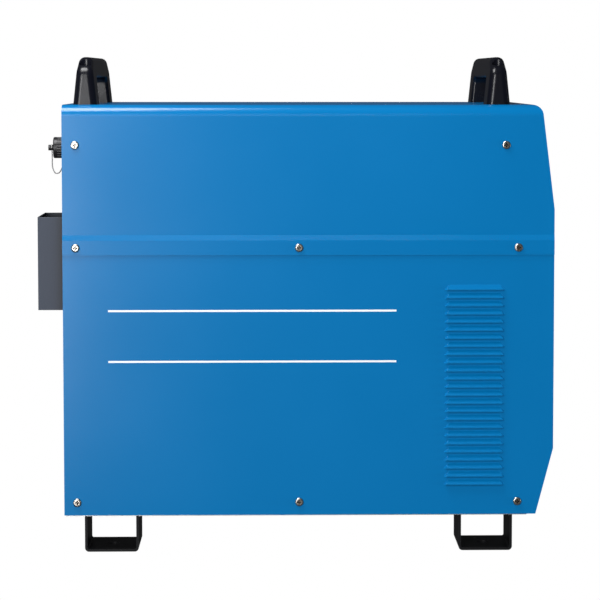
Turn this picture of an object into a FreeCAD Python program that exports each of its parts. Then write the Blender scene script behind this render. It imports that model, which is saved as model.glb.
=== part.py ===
import FreeCAD, Part
import math
import os
import Sketcher
from FreeCAD import Placement, Rotation, Vector

# Inverter air plasma cutter of the 120 A class, in its folded sheet-steel casing.
# Millimetres. +X points out of the front, the control side, and -Y out of the machine's right side.
# The origin is on the ground, under the middle of the box round the whole machine.

SIZES = {
    # casing as a whole
    "casing_length": 600,
    "casing_width": 320,
    "casing_height": 504,
    "foot_height": 45,
    "skin": 1.5,
    "fit_gap": 0.3,
    "seat": 0.01,
    "hole_play": 1,
    "screw_hole": 4.6,
    # outline of the sides at the front
    "low_bend_height": 82.6,
    "low_slope": 14.7,
    "high_bend_height": 376.3,
    "high_slope": 7,
    "brow_radius": 13,
    # upper cover and its lap over the side panels
    "fold_radius": 14,
    "seam_height": 321,
    "lap_height": 18,
    "lap_rise": 6.5,
    "lap_step": 1.8,
    "brow_drop": 14,
    # casing screws
    "rear_screws_in": 16,
    "middle_screws_from_rear": 288,
    "front_screws_in": 44,
    "brow_screws_in": 59.5,
    "top_screws_down": 49,
    "low_screws_up": 17,
    "screw_head": 10.4,
    "screw_head_height": 2.6,
    "screw_shank": 4,
    "screw_length": 7,
    "screw_dome": 1.8,
    "recess_arm": 2.6,
    "recess_slot": 0.8,
    "recess_depth": 1.6,
    # side panels and their pressed louvres
    "panel_lift": 1.2,
    "panel_tuck": 2,
    "louvre_count": 25,
    "louvre_pitch": 10,
    "louvre_lowest": 38,
    "louvre_rear": 465,
    "louvre_width": 75.6,
    "louvre_crown": 61,
    "louvre_height": 7.2,
    "louvre_depth": 4.2,
    "louvre_lip": 1.4,
    "louvre_wall": 1.2,
    # base tray
    "tray_sheet": 2,
    "tray_flange": 32,
    "tray_notch": 31,
    # front panel, set back between the sides
    "front_recess": 32,
    "front_slope": 9,
    "panel_flange": 26,
    # rear panel
    "rear_recess": 2,
    # inner shelf
    "shelf_height": 268,
    "shelf_flange": 14,
    # feet
    "foot_length": 66,
    "foot_width": 78,
    "foot_strip": 3,
    "foot_bend": 5,
    "foot_inset": 5,
    "rear_foot_in": 24.5,
    "front_foot_in": 49.5,
    "foot_hole": 14,
    # carrying handles
    "handle_length": 285,
    "handle_width": 29,
    "handle_height": 58,
    "handle_end_height": 43,
    "handle_shoulder": 27,
    "handle_gap_length": 184,
    "handle_gap_height": 33,
    "handle_draft": 6,
    "handle_round": 8,
    "handle_gap_round": 4,
    "handle_corner": 14,
    "handle_gap_corner": 8,
    "rear_handle_in": 27,
    "front_handle_in": 67.5,
    "handle_pocket": 14,
    "handle_pocket_in": 15,
    "handle_pocket_floor": 14,
    "handle_bolt": 6,
    "handle_bolt_head": 10,
    "handle_bolt_head_height": 6,
    "handle_bolt_grip": 12,
    # open box on the rear
    "box_reach": 31,
    "box_width": 95,
    "box_height": 114,
    "box_sheet": 1.2,
    "box_up": 253,
    "box_in": 12,
    # control socket and its dust cap
    "socket_in": 40,
    "socket_down": 53,
    "socket_flange": 30,
    "socket_flange_sheet": 2.5,
    "socket_barrel": 20,
    "socket_barrel_length": 8,
    "socket_tail": 16,
    "socket_corner": 3,
    "cap_diameter": 26,
    "cap_length": 12.4,
    "cap_lid": 2.6,
    "cap_edge": 1.5,
    "cap_play": 0.06,
    "cap_grip_start": 7.7,
    "cap_grip_count": 24,
    "cap_grip_size": 2.6,
    "cap_grip_out": 0.7,
    "nub_lip": 1.2,
    "nub_diameter": 7,
    "nub_neck": 4.6,
    "nub_length": 6.4,
    "ring_wire": 1.3,
    "lanyard_diameter": 1.4,
    # cooling fan
    "fan_up": 136,
    "fan_frame": 172,
    "fan_depth": 51,
    "fan_flange": 5,
    "fan_bore": 160,
    "fan_wall": 3,
    "fan_hub": 72,
    "fan_blade_gap": 3.5,
    "fan_blade_chord": 34,
    "fan_root_chord": 27,
    "fan_root_sunk": 3,
    "fan_blade_count": 7,
    "fan_blade_sheet": 2.2,
    "fan_blade_pitch": 38,
    "fan_motor_plate": 6,
    "fan_corner": 12,
    "guard_ring": 3,
    "guard_pitch": 11,
    "guard_count": 5,
    "guard_bar": 5,
    "fan_screw_in": 11,
    # circuit breaker
    "breaker_side": 62,
    "breaker_up": 400,
    "breaker_width": 54,
    "breaker_tall": 82,
    "breaker_deep": 62,
    "breaker_nose_tall": 46,
    "breaker_nose": 5,
    "breaker_slot_tall": 22,
    "breaker_slot_deep": 12,
    "lever_width": 44,
    "lever_drum": 7.5,
    "lever_reach": 17,
    "lever_blade": 5,
    "lever_rest_tilt": 32,
    # rear fittings
    "gland_in": 48,
    "gland_up": 300,
    "gland_hex": 30,
    "gland_bore": 15,
    "gland_reach": 24,
    "gland_collar": 10,
    "gland_dome": 27,
    "gland_thread": 21,
    "gland_tail": 14,
    "gland_nut": 6,
    "gas_in": 42,
    "gas_up": 236,
    "gas_hex": 19,
    "gas_barb": 10,
    "gas_bore": 5,
    "gas_reach": 27,
    "gas_rib": 1,
    "gas_collar": 8,
    "gas_tail": 16,
    "stud_in": 32,
    "stud_up": 40,
    "stud_diameter": 8,
    "stud_reach": 20,
    "stud_nut": 13,
    "stud_nut_tall": 6.5,
    # controls on the sloped face
    "meter_up": 462,
    "meter_width": 96,
    "meter_tall": 44,
    "meter_bezel": 4,
    "meter_view_depth": 2.4,
    "meter_glass": 1.4,
    "meter_deep": 30,
    "meter_wall": 4,
    "meter_corner": 3,
    "lamp_side": 84,
    "lamp_pitch": 20,
    "lamp_diameter": 8,
    "lamp_reach": 5,
    "lamp_rim": 12,
    "lamp_rim_sheet": 1,
    "lamp_lens_top": 4.4,
    "lamp_shoulder": 3,
    "lamp_tail": 7,
    "knob_up": 408,
    "knob_diameter": 36,
    "knob_height": 17,
    "knob_skirt": 3,
    "knob_edge": 2,
    "knob_grip": 28,
    "knob_top": 25,
    "knob_flute": 4,
    "knob_flute_out": 1.2,
    "knob_flute_count": 16,
    "knob_gap": 0.4,
    "knob_shaft": 6,
    "shaft_play": 0.05,
    "pot_diameter": 24,
    "pot_depth": 14,
    "pot_bushing": 9.5,
    "pot_nut": 13.5,
    "pot_proud": 1,
    "toggle_side": 88,
    "toggle_body": 28,
    "toggle_body_width": 17,
    "toggle_body_depth": 24,
    "toggle_bushing": 12,
    "toggle_nut": 16,
    "toggle_bushing_reach": 9,
    "toggle_bore": 9,
    "toggle_pivot": 4.95,
    "toggle_mouth": 8.55,
    "toggle_ball": 8.4,
    "toggle_neck_angle": 27,
    "toggle_pin": 2,
    "toggle_pin_length": 8.7,
    "toggle_tip": 5.4,
    "toggle_tip_round": 2.2,
    "toggle_reach": 19,
    "toggle_tilt": 12,
    "nut_sheet": 2.4,
    # output sockets on the upright face
    "outlet_up": 110,
    "outlet_side": 88,
    "torch_flange": 58,
    "torch_barrel": 36,
    "torch_bore": 18,
    "torch_reach": 26,
    "outlet_sheet": 4,
    "work_flange": 46,
    "work_barrel": 34,
    "work_bore": 13,
    "work_insert": 22,
    "work_reach": 20,
    "trigger_flange": 26,
    "trigger_barrel": 18,
    "trigger_bore": 13,
    "trigger_reach": 12,
    "trigger_depth": 9.6,
    "outlet_tail": 24,
    "bore_depth": 22,
    "insert_play": 0.2,
    "insert_short": 3,
    "insert_floor": 2,
    # heat sinks and power modules in the air duct
    "sink_from_rear": 96,
    "sink_clear": 20,
    "sink_tall": 190,
    "sink_plate": 9,
    "sink_fin": 2.5,
    "sink_fin_reach": 44,
    "sink_fin_count": 12,
    "sink_apart": 12,
    "module_length": 94,
    "module_tall": 34,
    "module_deep": 24,
    "module_pitch": 56,
    "module_count": 3,
    "board_sheet": 1.6,
    "capacitor_diameter": 32,
    "capacitor_length": 36,
    "capacitor_count": 5,
    "capacitor_edge": 4,
    # wound parts on the tray
    "coil_from_front": 196,
    "transformer_width": 116,
    "transformer_tall": 96,
    "transformer_deep": 44,
    "choke_width": 84,
    "choke_tall": 76,
    "choke_deep": 34,
    "control_coil_width": 70,
    "control_coil_tall": 60,
    "control_coil_deep": 30,
    "coil_apart": 9.2,
    "limb_share": 0.26,
    "yoke_share": 0.15,
    "winding_gap": 1,
    "winding_fit": 0.3,
    "winding_corner": 11,
    "winding_proud": 14,
    # boards and units on the shelf
    "board_length": 220,
    "board_width": 170,
    "standoff": 10,
    "standoff_diameter": 7,
    "ignition_length": 110,
    "ignition_width": 80,
    "ignition_tall": 62,
    "ignition_from_board": 12,
    # gas valve and the hose to the torch connector
    "valve_from_rear": 70,
    "valve_length": 46,
    "valve_width": 26,
    "valve_tall": 30,
    "valve_coil": 24,
    "valve_coil_tall": 34,
    "valve_in": 8,
    "hose_diameter": 9,
}

doc = FreeCAD.newDocument("PlasmaCutter")
sheet = doc.addObject("Spreadsheet::Sheet", "Sizes")
for row, (alias, number) in enumerate(SIZES.items(), 1):
    sheet.set(f"A{row}", alias)
    sheet.set(f"B{row}", str(number))
    sheet.setAlias(f"B{row}", alias)
doc.recompute()


class Size:
    """A number together with the words that bind it to the sheet."""

    def __init__(self, text, number):
        self.text = text
        self.number = number

    def __add__(self, other):
        other = sized(other)
        return Size(f"({self.text} + {other.text})", self.number + other.number)

    def __sub__(self, other):
        other = sized(other)
        return Size(f"({self.text} - {other.text})", self.number - other.number)

    def __mul__(self, other):
        other = sized(other)
        return Size(f"({self.text} * {other.text})", self.number * other.number)

    def __truediv__(self, other):
        other = sized(other)
        return Size(f"({self.text} / {other.text})", self.number / other.number)

    def __radd__(self, other):
        return sized(other) + self

    def __rsub__(self, other):
        return sized(other) - self

    def __rmul__(self, other):
        return sized(other) * self

    def __neg__(self):
        return Size(f"(0 - {self.text})", -self.number)


def sized(value):
    return value if isinstance(value, Size) else Size(f"{value:g}", float(value))


def tangent(angle):
    return Size(f"tan({angle.text} * 1 deg)", math.tan(math.radians(angle.number)))


def sine(angle):
    return Size(f"sin({angle.text} * 1 deg)", math.sin(math.radians(angle.number)))


def cosine(angle):
    return Size(f"cos({angle.text} * 1 deg)", math.cos(math.radians(angle.number)))


class Sheet:
    """Every cell of the sheet as a Size, by its alias."""

    def __getattr__(self, alias):
        return Size(f"Sizes.{alias}", float(getattr(sheet, alias)))


S = Sheet()

# planes that the pieces share
HALF = S.casing_width / 2
INNER = HALF - S.skin - S.fit_gap
FRONT = (S.casing_length + S.box_reach) / 2
REAR = FRONT - S.casing_length
BASE = S.foot_height
TOP = BASE + S.casing_height
LOW_BEND = BASE + S.low_bend_height
HIGH_BEND = BASE + S.high_bend_height
SEAM = BASE + S.seam_height
FACE = FRONT - S.front_recess
BACK = REAR + S.rear_recess
DECK = BASE + S.tray_sheet
CEILING = TOP - S.skin - S.fit_gap

# how far a cut runs past the material that it takes away
OVER = sized(30)


def bind(target, prop, value):
    target.setExpression(prop, sized(value).text)


def piece(label):
    body = doc.addObject("PartDesign::Body", label)
    body.Label = label
    return body


AXES = {"YZ_Plane": 1, "XY_Plane": 1, "XZ_Plane": -1}


def settle(sketch, constraints):
    """Add the constraints together, then bind those that have words."""
    first = len(sketch.Constraints)
    sketch.addConstraint([constraint for constraint, words in constraints])
    for index, (constraint, words) in enumerate(constraints, first):
        if words:
            sketch.setExpression(f"Constraints[{index}]", words)


def fix(kind, geometry, end, value):
    """One coordinate of a point of the sketch, with the words that bind it."""
    value = sized(value)
    return Sketcher.Constraint(kind, -1, 1, geometry, end, value.number), value.text


def draw_outline(sketch, corners, arcs):
    """One closed outline of (u, v) corners. The side after corner i is an arc about arcs[i], if given."""
    points = [Vector(sized(u).number, sized(v).number, 0) for u, v in corners]
    sides = []
    for i, start in enumerate(points):
        end = points[(i + 1) % len(points)]
        if i not in arcs:
            sides.append((sketch.addGeometry(Part.LineSegment(start, end), False), 1, 2))
            continue
        centre = Vector(sized(arcs[i][0]).number, sized(arcs[i][1]).number, 0)
        middle = (start + end) * 0.5 - centre
        bulge = centre + middle.normalize() * (start - centre).Length
        clockwise = (start - centre).cross(end - centre).z < 0
        first, last = (end, start) if clockwise else (start, end)
        index = sketch.addGeometry(Part.Arc(first, bulge, last), False)
        sides.append((index, 2, 1) if clockwise else (index, 1, 2))
    found = []
    for i, (u, v) in enumerate(corners):
        before, after = sides[i - 1], sides[i]
        found.append((Sketcher.Constraint("Coincident", before[0], before[2], after[0], after[1]), ""))
        found.append(fix("DistanceX", after[0], after[1], u))
        if (i - 1) % len(corners) not in arcs:
            found.append(fix("DistanceY", after[0], after[1], v))
    for i, (u, v) in arcs.items():
        found += [fix("DistanceX", sides[i][0], 3, u), fix("DistanceY", sides[i][0], 3, v)]
    settle(sketch, found)


def draw(body, name, plane, at=0, outlines=(), circles=(), arcs=None):
    """A sketch on one of the body's own planes, moved along that plane's world axis to `at`."""
    sketch = body.newObject("Sketcher::SketchObject", f"{body.Name}_{name}")
    support = next(f for f in body.Origin.OriginFeatures if f.Role == plane)
    sketch.AttachmentSupport = [(support, "")]
    sketch.MapMode = "FlatFace"
    bind(sketch, "AttachmentOffset.Base.z", sized(at) * AXES[plane])
    for outline in outlines:
        draw_outline(sketch, outline, arcs or {})
    for u, v, diameter in circles:
        radius = sized(diameter) / 2
        centre = Vector(sized(u).number, sized(v).number, 0)
        ring = sketch.addGeometry(Part.Circle(centre, Vector(0, 0, 1), radius.number), False)
        size = (Sketcher.Constraint("Radius", ring, radius.number), radius.text)
        settle(sketch, [fix("DistanceX", ring, 3, u), fix("DistanceY", ring, 3, v), size])
    return sketch


def rectangle(u0, v0, u1, v1):
    return [(u0, v0), (u1, v0), (u1, v1), (u0, v1)]


def add(body, sketch, length, way=1, both=False):
    """Material from the sketch along its plane's world axis: way 1 up the axis, -1 down it."""
    feature = body.newObject("PartDesign::Pad", f"{sketch.Name}_pad")
    feature.Profile = sketch
    bind(feature, "Length", length)
    feature.SideType = "Symmetric" if both else "One side"
    upright = sketch.AttachmentSupport[0][0].Role != "XZ_Plane"
    feature.Reversed = (way < 0) == upright
    return feature


def cut(body, sketch, length=None, way=1, both=False):
    """Material taken away in the same sense. Without a length the cut goes right through."""
    feature = body.newObject("PartDesign::Pocket", f"{sketch.Name}_pocket")
    feature.Profile = sketch
    if length is None:
        feature.Type = "ThroughAll"
    else:
        bind(feature, "Length", length)
    feature.SideType = "Symmetric" if both else "One side"
    upright = sketch.AttachmentSupport[0][0].Role != "XZ_Plane"
    feature.Reversed = (way > 0) == upright
    return feature


def turn(body, sketch, axis, kind="Revolution"):
    feature = body.newObject(f"PartDesign::{kind}", f"{sketch.Name}_turned")
    feature.Profile = sketch
    feature.ReferenceAxis = (sketch, [axis])
    feature.Angle = 360
    return feature


def repeat(body, features, role, count, spacing):
    pattern = body.newObject("PartDesign::LinearPattern", f"{body.Name}_row")
    pattern.Originals = features
    pattern.Direction = (next(f for f in body.Origin.OriginFeatures if f.Role == role), [""])
    pattern.Mode = "Spacing"
    bind(pattern, "Offset", spacing)
    bind(pattern, "Occurrences", count)
    body.Tip = pattern
    return pattern


def ring_of(body, features, role, count):
    pattern = body.newObject("PartDesign::PolarPattern", f"{body.Name}_ring")
    pattern.Originals = features
    pattern.Axis = (next(f for f in body.Origin.OriginFeatures if f.Role == role), [""])
    pattern.Angle = 360
    bind(pattern, "Occurrences", count)
    body.Tip = pattern
    return pattern


def soften(body, radius, wanted):
    """Fillet on the edges of the tip that `wanted` picks."""
    doc.recompute()
    base = body.Tip
    names = [f"Edge{i}" for i, edge in enumerate(base.Shape.Edges, 1) if wanted(edge)]
    fillet = body.newObject("PartDesign::Fillet", f"{body.Name}_rounds")
    fillet.Base = (base, names)
    bind(fillet, "Radius", radius)
    return fillet


def fold(body, sheet_gauge, open_face):
    """Turn the solid so far into sheet of that gauge, open at the faces that `open_face` picks."""
    doc.recompute()
    base = body.Tip
    names = [f"Face{i}" for i, face in enumerate(base.Shape.Faces, 1) if open_face(face)]
    shell = body.newObject("PartDesign::Thickness", f"{body.Name}_sheet")
    shell.Base = (base, names)
    bind(shell, "Value", sheet_gauge)
    shell.Reversed = True
    shell.Mode = "Skin"
    shell.Join = "Intersection"
    return shell


def edges_along(axis, spots):
    """Picks straight edges that run along an axis through the given places in the other two directions."""
    first, second = (other for other in "xyz" if other != axis)
    places = [(sized(u).number, sized(v).number) for u, v in spots]

    def wanted(edge):
        ends = [vertex.Point for vertex in edge.Vertexes]
        on_place = [all(math.hypot(getattr(p, first) - u, getattr(p, second) - v) < 0.01 for p in ends)
                    for u, v in places]
        return len(ends) == 2 and any(on_place)

    return wanted


def rim_at(axis, level, radius):
    """Picks the circular edge of that radius at that level of an axis."""
    level, radius = sized(level).number, sized(radius).number

    def wanted(edge):
        if edge.Curve.TypeId != "Part::GeomCircle":
            return False
        return abs(getattr(edge.Curve.Center, axis) - level) < 0.01 and abs(edge.Curve.Radius - radius) < 0.01

    return wanted


def block(label, low, size):
    box = doc.addObject("Part::Box", label)
    for prop, value in zip(("Length", "Width", "Height"), size):
        bind(box, prop, value)
    for axis, value in zip("xyz", low):
        bind(box, f"Placement.Base.{axis}", value)
    return box


def copies(label, master, placements):
    """Identical pieces as separate solids of one node."""
    doc.recompute()
    shapes = []
    for placement in placements:
        shape = master.Shape.copy()
        shape.Placement = placement.multiply(shape.Placement)
        shapes.append(shape)
    group = doc.addObject("Part::Feature", label)
    group.Label = label
    group.Shape = Part.Compound(shapes)
    return group


def at(x, y, z, axis=Vector(0, 0, 1), angle=0):
    point = Vector(sized(x).number, sized(y).number, sized(z).number)
    return Placement(point, Rotation(axis, angle))


# Where the casing screws sit on each side, as places along X and Z
REAR_ROW = REAR + S.rear_screws_in
MIDDLE_ROW = REAR + S.middle_screws_from_rear
FRONT_ROW = FRONT - S.front_screws_in
TOP_ROW = TOP - S.top_screws_down
SEAM_ROW = SEAM + S.lap_height / 2
LOW_ROW = BASE + S.low_screws_up
COVER_SCREWS = [(REAR_ROW, TOP_ROW), (FRONT - S.brow_screws_in, TOP_ROW)]
SEAM_SCREWS = [(x, SEAM_ROW) for x in (REAR_ROW, MIDDLE_ROW, FRONT_ROW)]
LOW_SCREWS = [(x, LOW_ROW) for x in (REAR_ROW, MIDDLE_ROW, FRONT_ROW)]


def holes(body, name, places, diameter):
    sketch = draw(body, name, "XZ_Plane", 0, circles=[(x, z, diameter) for x, z in places])
    return cut(body, sketch, both=True)


def upper_cover():
    """One bent sheet: the top, both upper sides and the joggled lap along their lower edges."""
    body = piece("upper_cover")
    lap_out = HALF + S.lap_step
    lap_top = SEAM + S.lap_height
    joggle = lap_top + S.lap_rise
    outer = [(lap_out, SEAM), (lap_out, lap_top), (HALF, joggle), (HALF, TOP)]
    inner = [(lap_out - S.skin, SEAM), (lap_out - S.skin, lap_top), (HALF - S.skin, joggle)]
    inner.append((HALF - S.skin, TOP - S.skin))

    def mirrored(run):
        return [(-side, height) for side, height in reversed(run)]

    section = outer + mirrored(outer) + list(reversed(mirrored(inner))) + list(reversed(inner))
    add(body, draw(body, "section", "YZ_Plane", REAR, [section]), S.casing_length)
    inside, under = HALF - S.skin, TOP - S.skin
    soften(body, S.fold_radius, edges_along("x", [(-HALF, TOP), (HALF, TOP)]))
    soften(body, S.fold_radius - S.skin, edges_along("x", [(-inside, under), (inside, under)]))
    brow = FRONT - (TOP - HIGH_BEND) * tangent(S.high_slope)
    reach = S.brow_radius * tangent(45 - S.high_slope / 2)
    centre = (brow - reach, TOP - S.brow_radius)
    lean = (S.brow_radius * cosine(S.high_slope), S.brow_radius * sine(S.high_slope))
    leaves = (centre[0] + lean[0], centre[1] + lean[1])
    nose = [(FRONT, HIGH_BEND), leaves, (centre[0], TOP), (centre[0], TOP + OVER)]
    nose += [(FRONT + OVER, TOP + OVER), (FRONT + OVER, HIGH_BEND)]
    cut(body, draw(body, "front_edge", "XZ_Plane", 0, [nose], arcs={1: centre}), both=True)
    lip_front = brow - S.brow_radius
    lip = rectangle(lip_front - S.skin, TOP - S.brow_drop, lip_front, TOP - S.skin / 2)
    add(body, draw(body, "lip", "XZ_Plane", 0, [lip]), (HALF - S.fold_radius) * 2, both=True)
    holes(body, "holes", COVER_SCREWS + SEAM_SCREWS, S.screw_hole)
    return body


def side_outline(top):
    low = BASE + S.panel_lift
    toe = FRONT - (LOW_BEND - low) * tangent(S.low_slope)
    return [(REAR, low), (toe, low), (FRONT, LOW_BEND), (FRONT, top), (REAR, top)]


def side_panel(label, side):
    """Flat lower side with a column of louvres, each lanced along its lower edge and pressed out."""
    body = piece(label)
    top = SEAM + S.lap_height - S.panel_tuck
    skin = draw(body, "sheet", "XZ_Plane", (HALF - S.skin) * side, [side_outline(top)])
    add(body, skin, S.skin, side)
    middle = REAR + S.louvre_rear + S.louvre_width / 2
    low = BASE + S.louvre_lowest
    slant = (S.louvre_width - S.louvre_crown) / 2

    def hood(name, face, reach, wall):
        """Outline at the sheet, then the lip it draws in to, both `wall` inside the outer hood."""
        half = S.louvre_width / 2 - wall
        crown = S.louvre_crown / 2 - wall
        peak = low + S.louvre_height - wall
        root = [(middle - half, low), (middle + half, low), (middle + crown, peak), (middle - crown, peak)]
        lip_half = half - slant / 2
        lip_peak = low + S.louvre_lip
        lip = rectangle(middle - lip_half, low, middle + lip_half, lip_peak)
        base = draw(body, f"{name}_root", "XZ_Plane", face * side, [root])
        tip = draw(body, f"{name}_lip", "XZ_Plane", reach * side, [lip])
        return base, tip

    base, tip = hood("hood", HALF - S.skin / 2, HALF + S.louvre_depth, 0)
    raised = body.newObject("PartDesign::AdditiveLoft", f"{label}_hood")
    raised.Profile = base
    raised.Sections = [tip]
    raised.Ruled = True
    base, tip = hood("hollow", HALF - S.skin * 2, HALF + S.louvre_depth - S.skin, S.louvre_wall)
    hollow = body.newObject("PartDesign::SubtractiveLoft", f"{label}_hollow")
    hollow.Profile = base
    hollow.Sections = [tip]
    hollow.Ruled = True
    repeat(body, [raised, hollow], "Z_Axis", S.louvre_count, S.louvre_pitch)
    holes(body, "holes", SEAM_SCREWS + LOW_SCREWS, S.screw_hole)
    return body


def base_tray():
    """Floor of the casing with upturned sides, stopped short of the end panels' flanges."""
    body = piece("base_tray")
    floor = draw(body, "floor", "XY_Plane", BASE, [rectangle(BACK, -INNER, FACE, INNER)])
    add(body, floor, S.tray_sheet)
    ends = (BACK + S.tray_notch, FACE - S.tray_notch)
    side = rectangle(ends[0], BASE, ends[1], BASE + S.tray_flange)
    for name, edge, way in (("right", -INNER, 1), ("left", INNER, -1)):
        add(body, draw(body, name, "XZ_Plane", edge, [side]), S.tray_sheet, way)
    holes(body, "holes", [(MIDDLE_ROW, LOW_ROW)], S.screw_hole)
    return body


def sloped_face(z):
    """How far forward the sloped control face lies at height z."""
    return FACE - (z - HIGH_BEND) * tangent(S.front_slope)


METER = BASE + S.meter_up
KNOB = BASE + S.knob_up
OUTLET = BASE + S.outlet_up


def front_panel():
    """Folded pan: an upright face, a sloped control face, and flanges turned back all round."""
    body = piece("front_panel")
    low, high = DECK + S.fit_gap, CEILING
    top_front = sloped_face(high)
    pan = [(FACE, low), (FACE, HIGH_BEND), (top_front, high), (top_front - S.panel_flange, high)]
    pan += [(FACE - S.panel_flange, HIGH_BEND), (FACE - S.panel_flange, low)]
    add(body, draw(body, "pan", "XZ_Plane", 0, [pan]), INNER * 2, both=True)
    soften(body, S.fold_radius, edges_along("x", [(-INNER, high), (INNER, high)]))

    def behind(face):
        place = face.CenterOfMass
        return face.normalAt(0, 0).x < -0.9 and place.x < sloped_face(high).number

    fold(body, S.skin, behind)
    window = S.meter_width - S.meter_wall
    glass = S.meter_tall - S.meter_wall
    meter = rectangle(-window / 2, METER - glass / 2, window / 2, METER + glass / 2)
    fitted = [(0, KNOB, S.pot_bushing)]
    fitted += [(S.toggle_side * side, KNOB, S.toggle_bushing) for side in (-1, 1)]
    fitted += [(S.lamp_side + i * S.lamp_pitch, METER, S.lamp_diameter) for i in range(-1, 2)]
    fitted += [(-S.outlet_side, OUTLET, S.torch_barrel), (S.outlet_side, OUTLET, S.work_barrel)]
    fitted.append((0, OUTLET, S.trigger_barrel))
    rounds = [(side, height, diameter + S.hole_play) for side, height, diameter in fitted]
    openings = draw(body, "openings", "YZ_Plane", FACE + OVER, [meter], rounds)
    cut(body, openings, way=-1)
    holes(body, "holes", [COVER_SCREWS[1], SEAM_SCREWS[2], LOW_SCREWS[2]], S.screw_hole)
    return body


FAN = BASE + S.fan_up
BREAKER = BASE + S.breaker_up
SOCKET_Y = -(HALF - S.socket_in)
SOCKET_Z = TOP - S.socket_down
GLAND = BASE + S.gland_up
GLAND_Y = HALF - S.gland_in
GAS = BASE + S.gas_up
GAS_Y = HALF - S.gas_in
STUD = BASE + S.stud_up
STUD_Y = HALF - S.stud_in


def rear_panel():
    """Flat pan that carries the fan, the breaker and the inlets."""
    body = piece("rear_panel")
    low, high = DECK + S.fit_gap, CEILING
    add(body, draw(body, "pan", "YZ_Plane", BACK, [rectangle(-INNER, low, INNER, high)]), S.panel_flange)
    soften(body, S.fold_radius, edges_along("x", [(-INNER, high), (INNER, high)]))
    fold(body, S.skin, lambda face: face.BoundBox.XMin > (BACK + S.skin).number)
    half, tall = (S.breaker_width + S.hole_play) / 2, (S.breaker_nose_tall + S.hole_play) / 2
    nose = rectangle(S.breaker_side - half, BREAKER - tall, S.breaker_side + half, BREAKER + tall)
    fitted = [(SOCKET_Y, SOCKET_Z, S.socket_barrel), (GLAND_Y, GLAND, S.gland_thread)]
    fitted += [(GAS_Y, GAS, S.gas_barb), (STUD_Y, STUD, S.stud_diameter)]
    rounds = [(side, height, diameter + S.hole_play) for side, height, diameter in fitted]
    rounds.append((0, FAN, S.fan_bore))
    cut(body, draw(body, "openings", "YZ_Plane", BACK - OVER, [nose], rounds), way=1)
    holes(body, "holes", [COVER_SCREWS[0], SEAM_SCREWS[0], LOW_SCREWS[0]], S.screw_hole)
    return body


def inner_shelf():
    """Deck between the end panels, with its long edges turned down and its ends turned up."""
    body = piece("inner_shelf")
    level = BASE + S.shelf_height
    rear_end, front_end = BACK + S.skin + S.fit_gap, FACE - S.skin - S.fit_gap
    half = INNER - S.panel_flange
    deck = draw(body, "deck", "XY_Plane", level, [rectangle(rear_end, -half, front_end, half)])
    add(body, deck, S.skin)
    for name, edge, way in (("right", -half, 1), ("left", half, -1)):
        side = rectangle(rear_end, level - S.shelf_flange, front_end, level)
        add(body, draw(body, name, "XZ_Plane", edge, [side]), S.skin, way)
    for name, edge, way in (("rear_end", rear_end, 1), ("front_end", front_end, -1)):
        tab = rectangle(-half, level, half, level + S.shelf_flange)
        add(body, draw(body, name, "YZ_Plane", edge, [tab]), S.skin, way)
    return body


def foot(label, rear_edge, side):
    """U of flat bar welded under the tray, with a hole in its sole."""
    body = piece(label)
    front_edge = rear_edge + S.foot_length
    bar = S.foot_strip
    top = BASE - S.seat
    section = [(rear_edge, top), (rear_edge, 0), (front_edge, 0), (front_edge, top), (front_edge - bar, top)]
    section += [(front_edge - bar, bar), (rear_edge + bar, bar), (rear_edge + bar, top)]
    outer = (HALF - S.foot_inset) * side
    add(body, draw(body, "bar", "XZ_Plane", outer, [section]), S.foot_width, -side)
    soften(body, S.foot_bend, edges_along("y", [(rear_edge, 0), (front_edge, 0)]))
    soften(body, S.foot_bend - bar, edges_along("y", [(rear_edge + bar, bar), (front_edge - bar, bar)]))
    middle = (HALF - S.foot_inset - S.foot_width / 2) * side
    hole = [((rear_edge + front_edge) / 2, middle, S.foot_hole)]
    cut(body, draw(body, "hole", "XY_Plane", bar * 2, circles=hole), bar * 3, -1)
    return body


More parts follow.
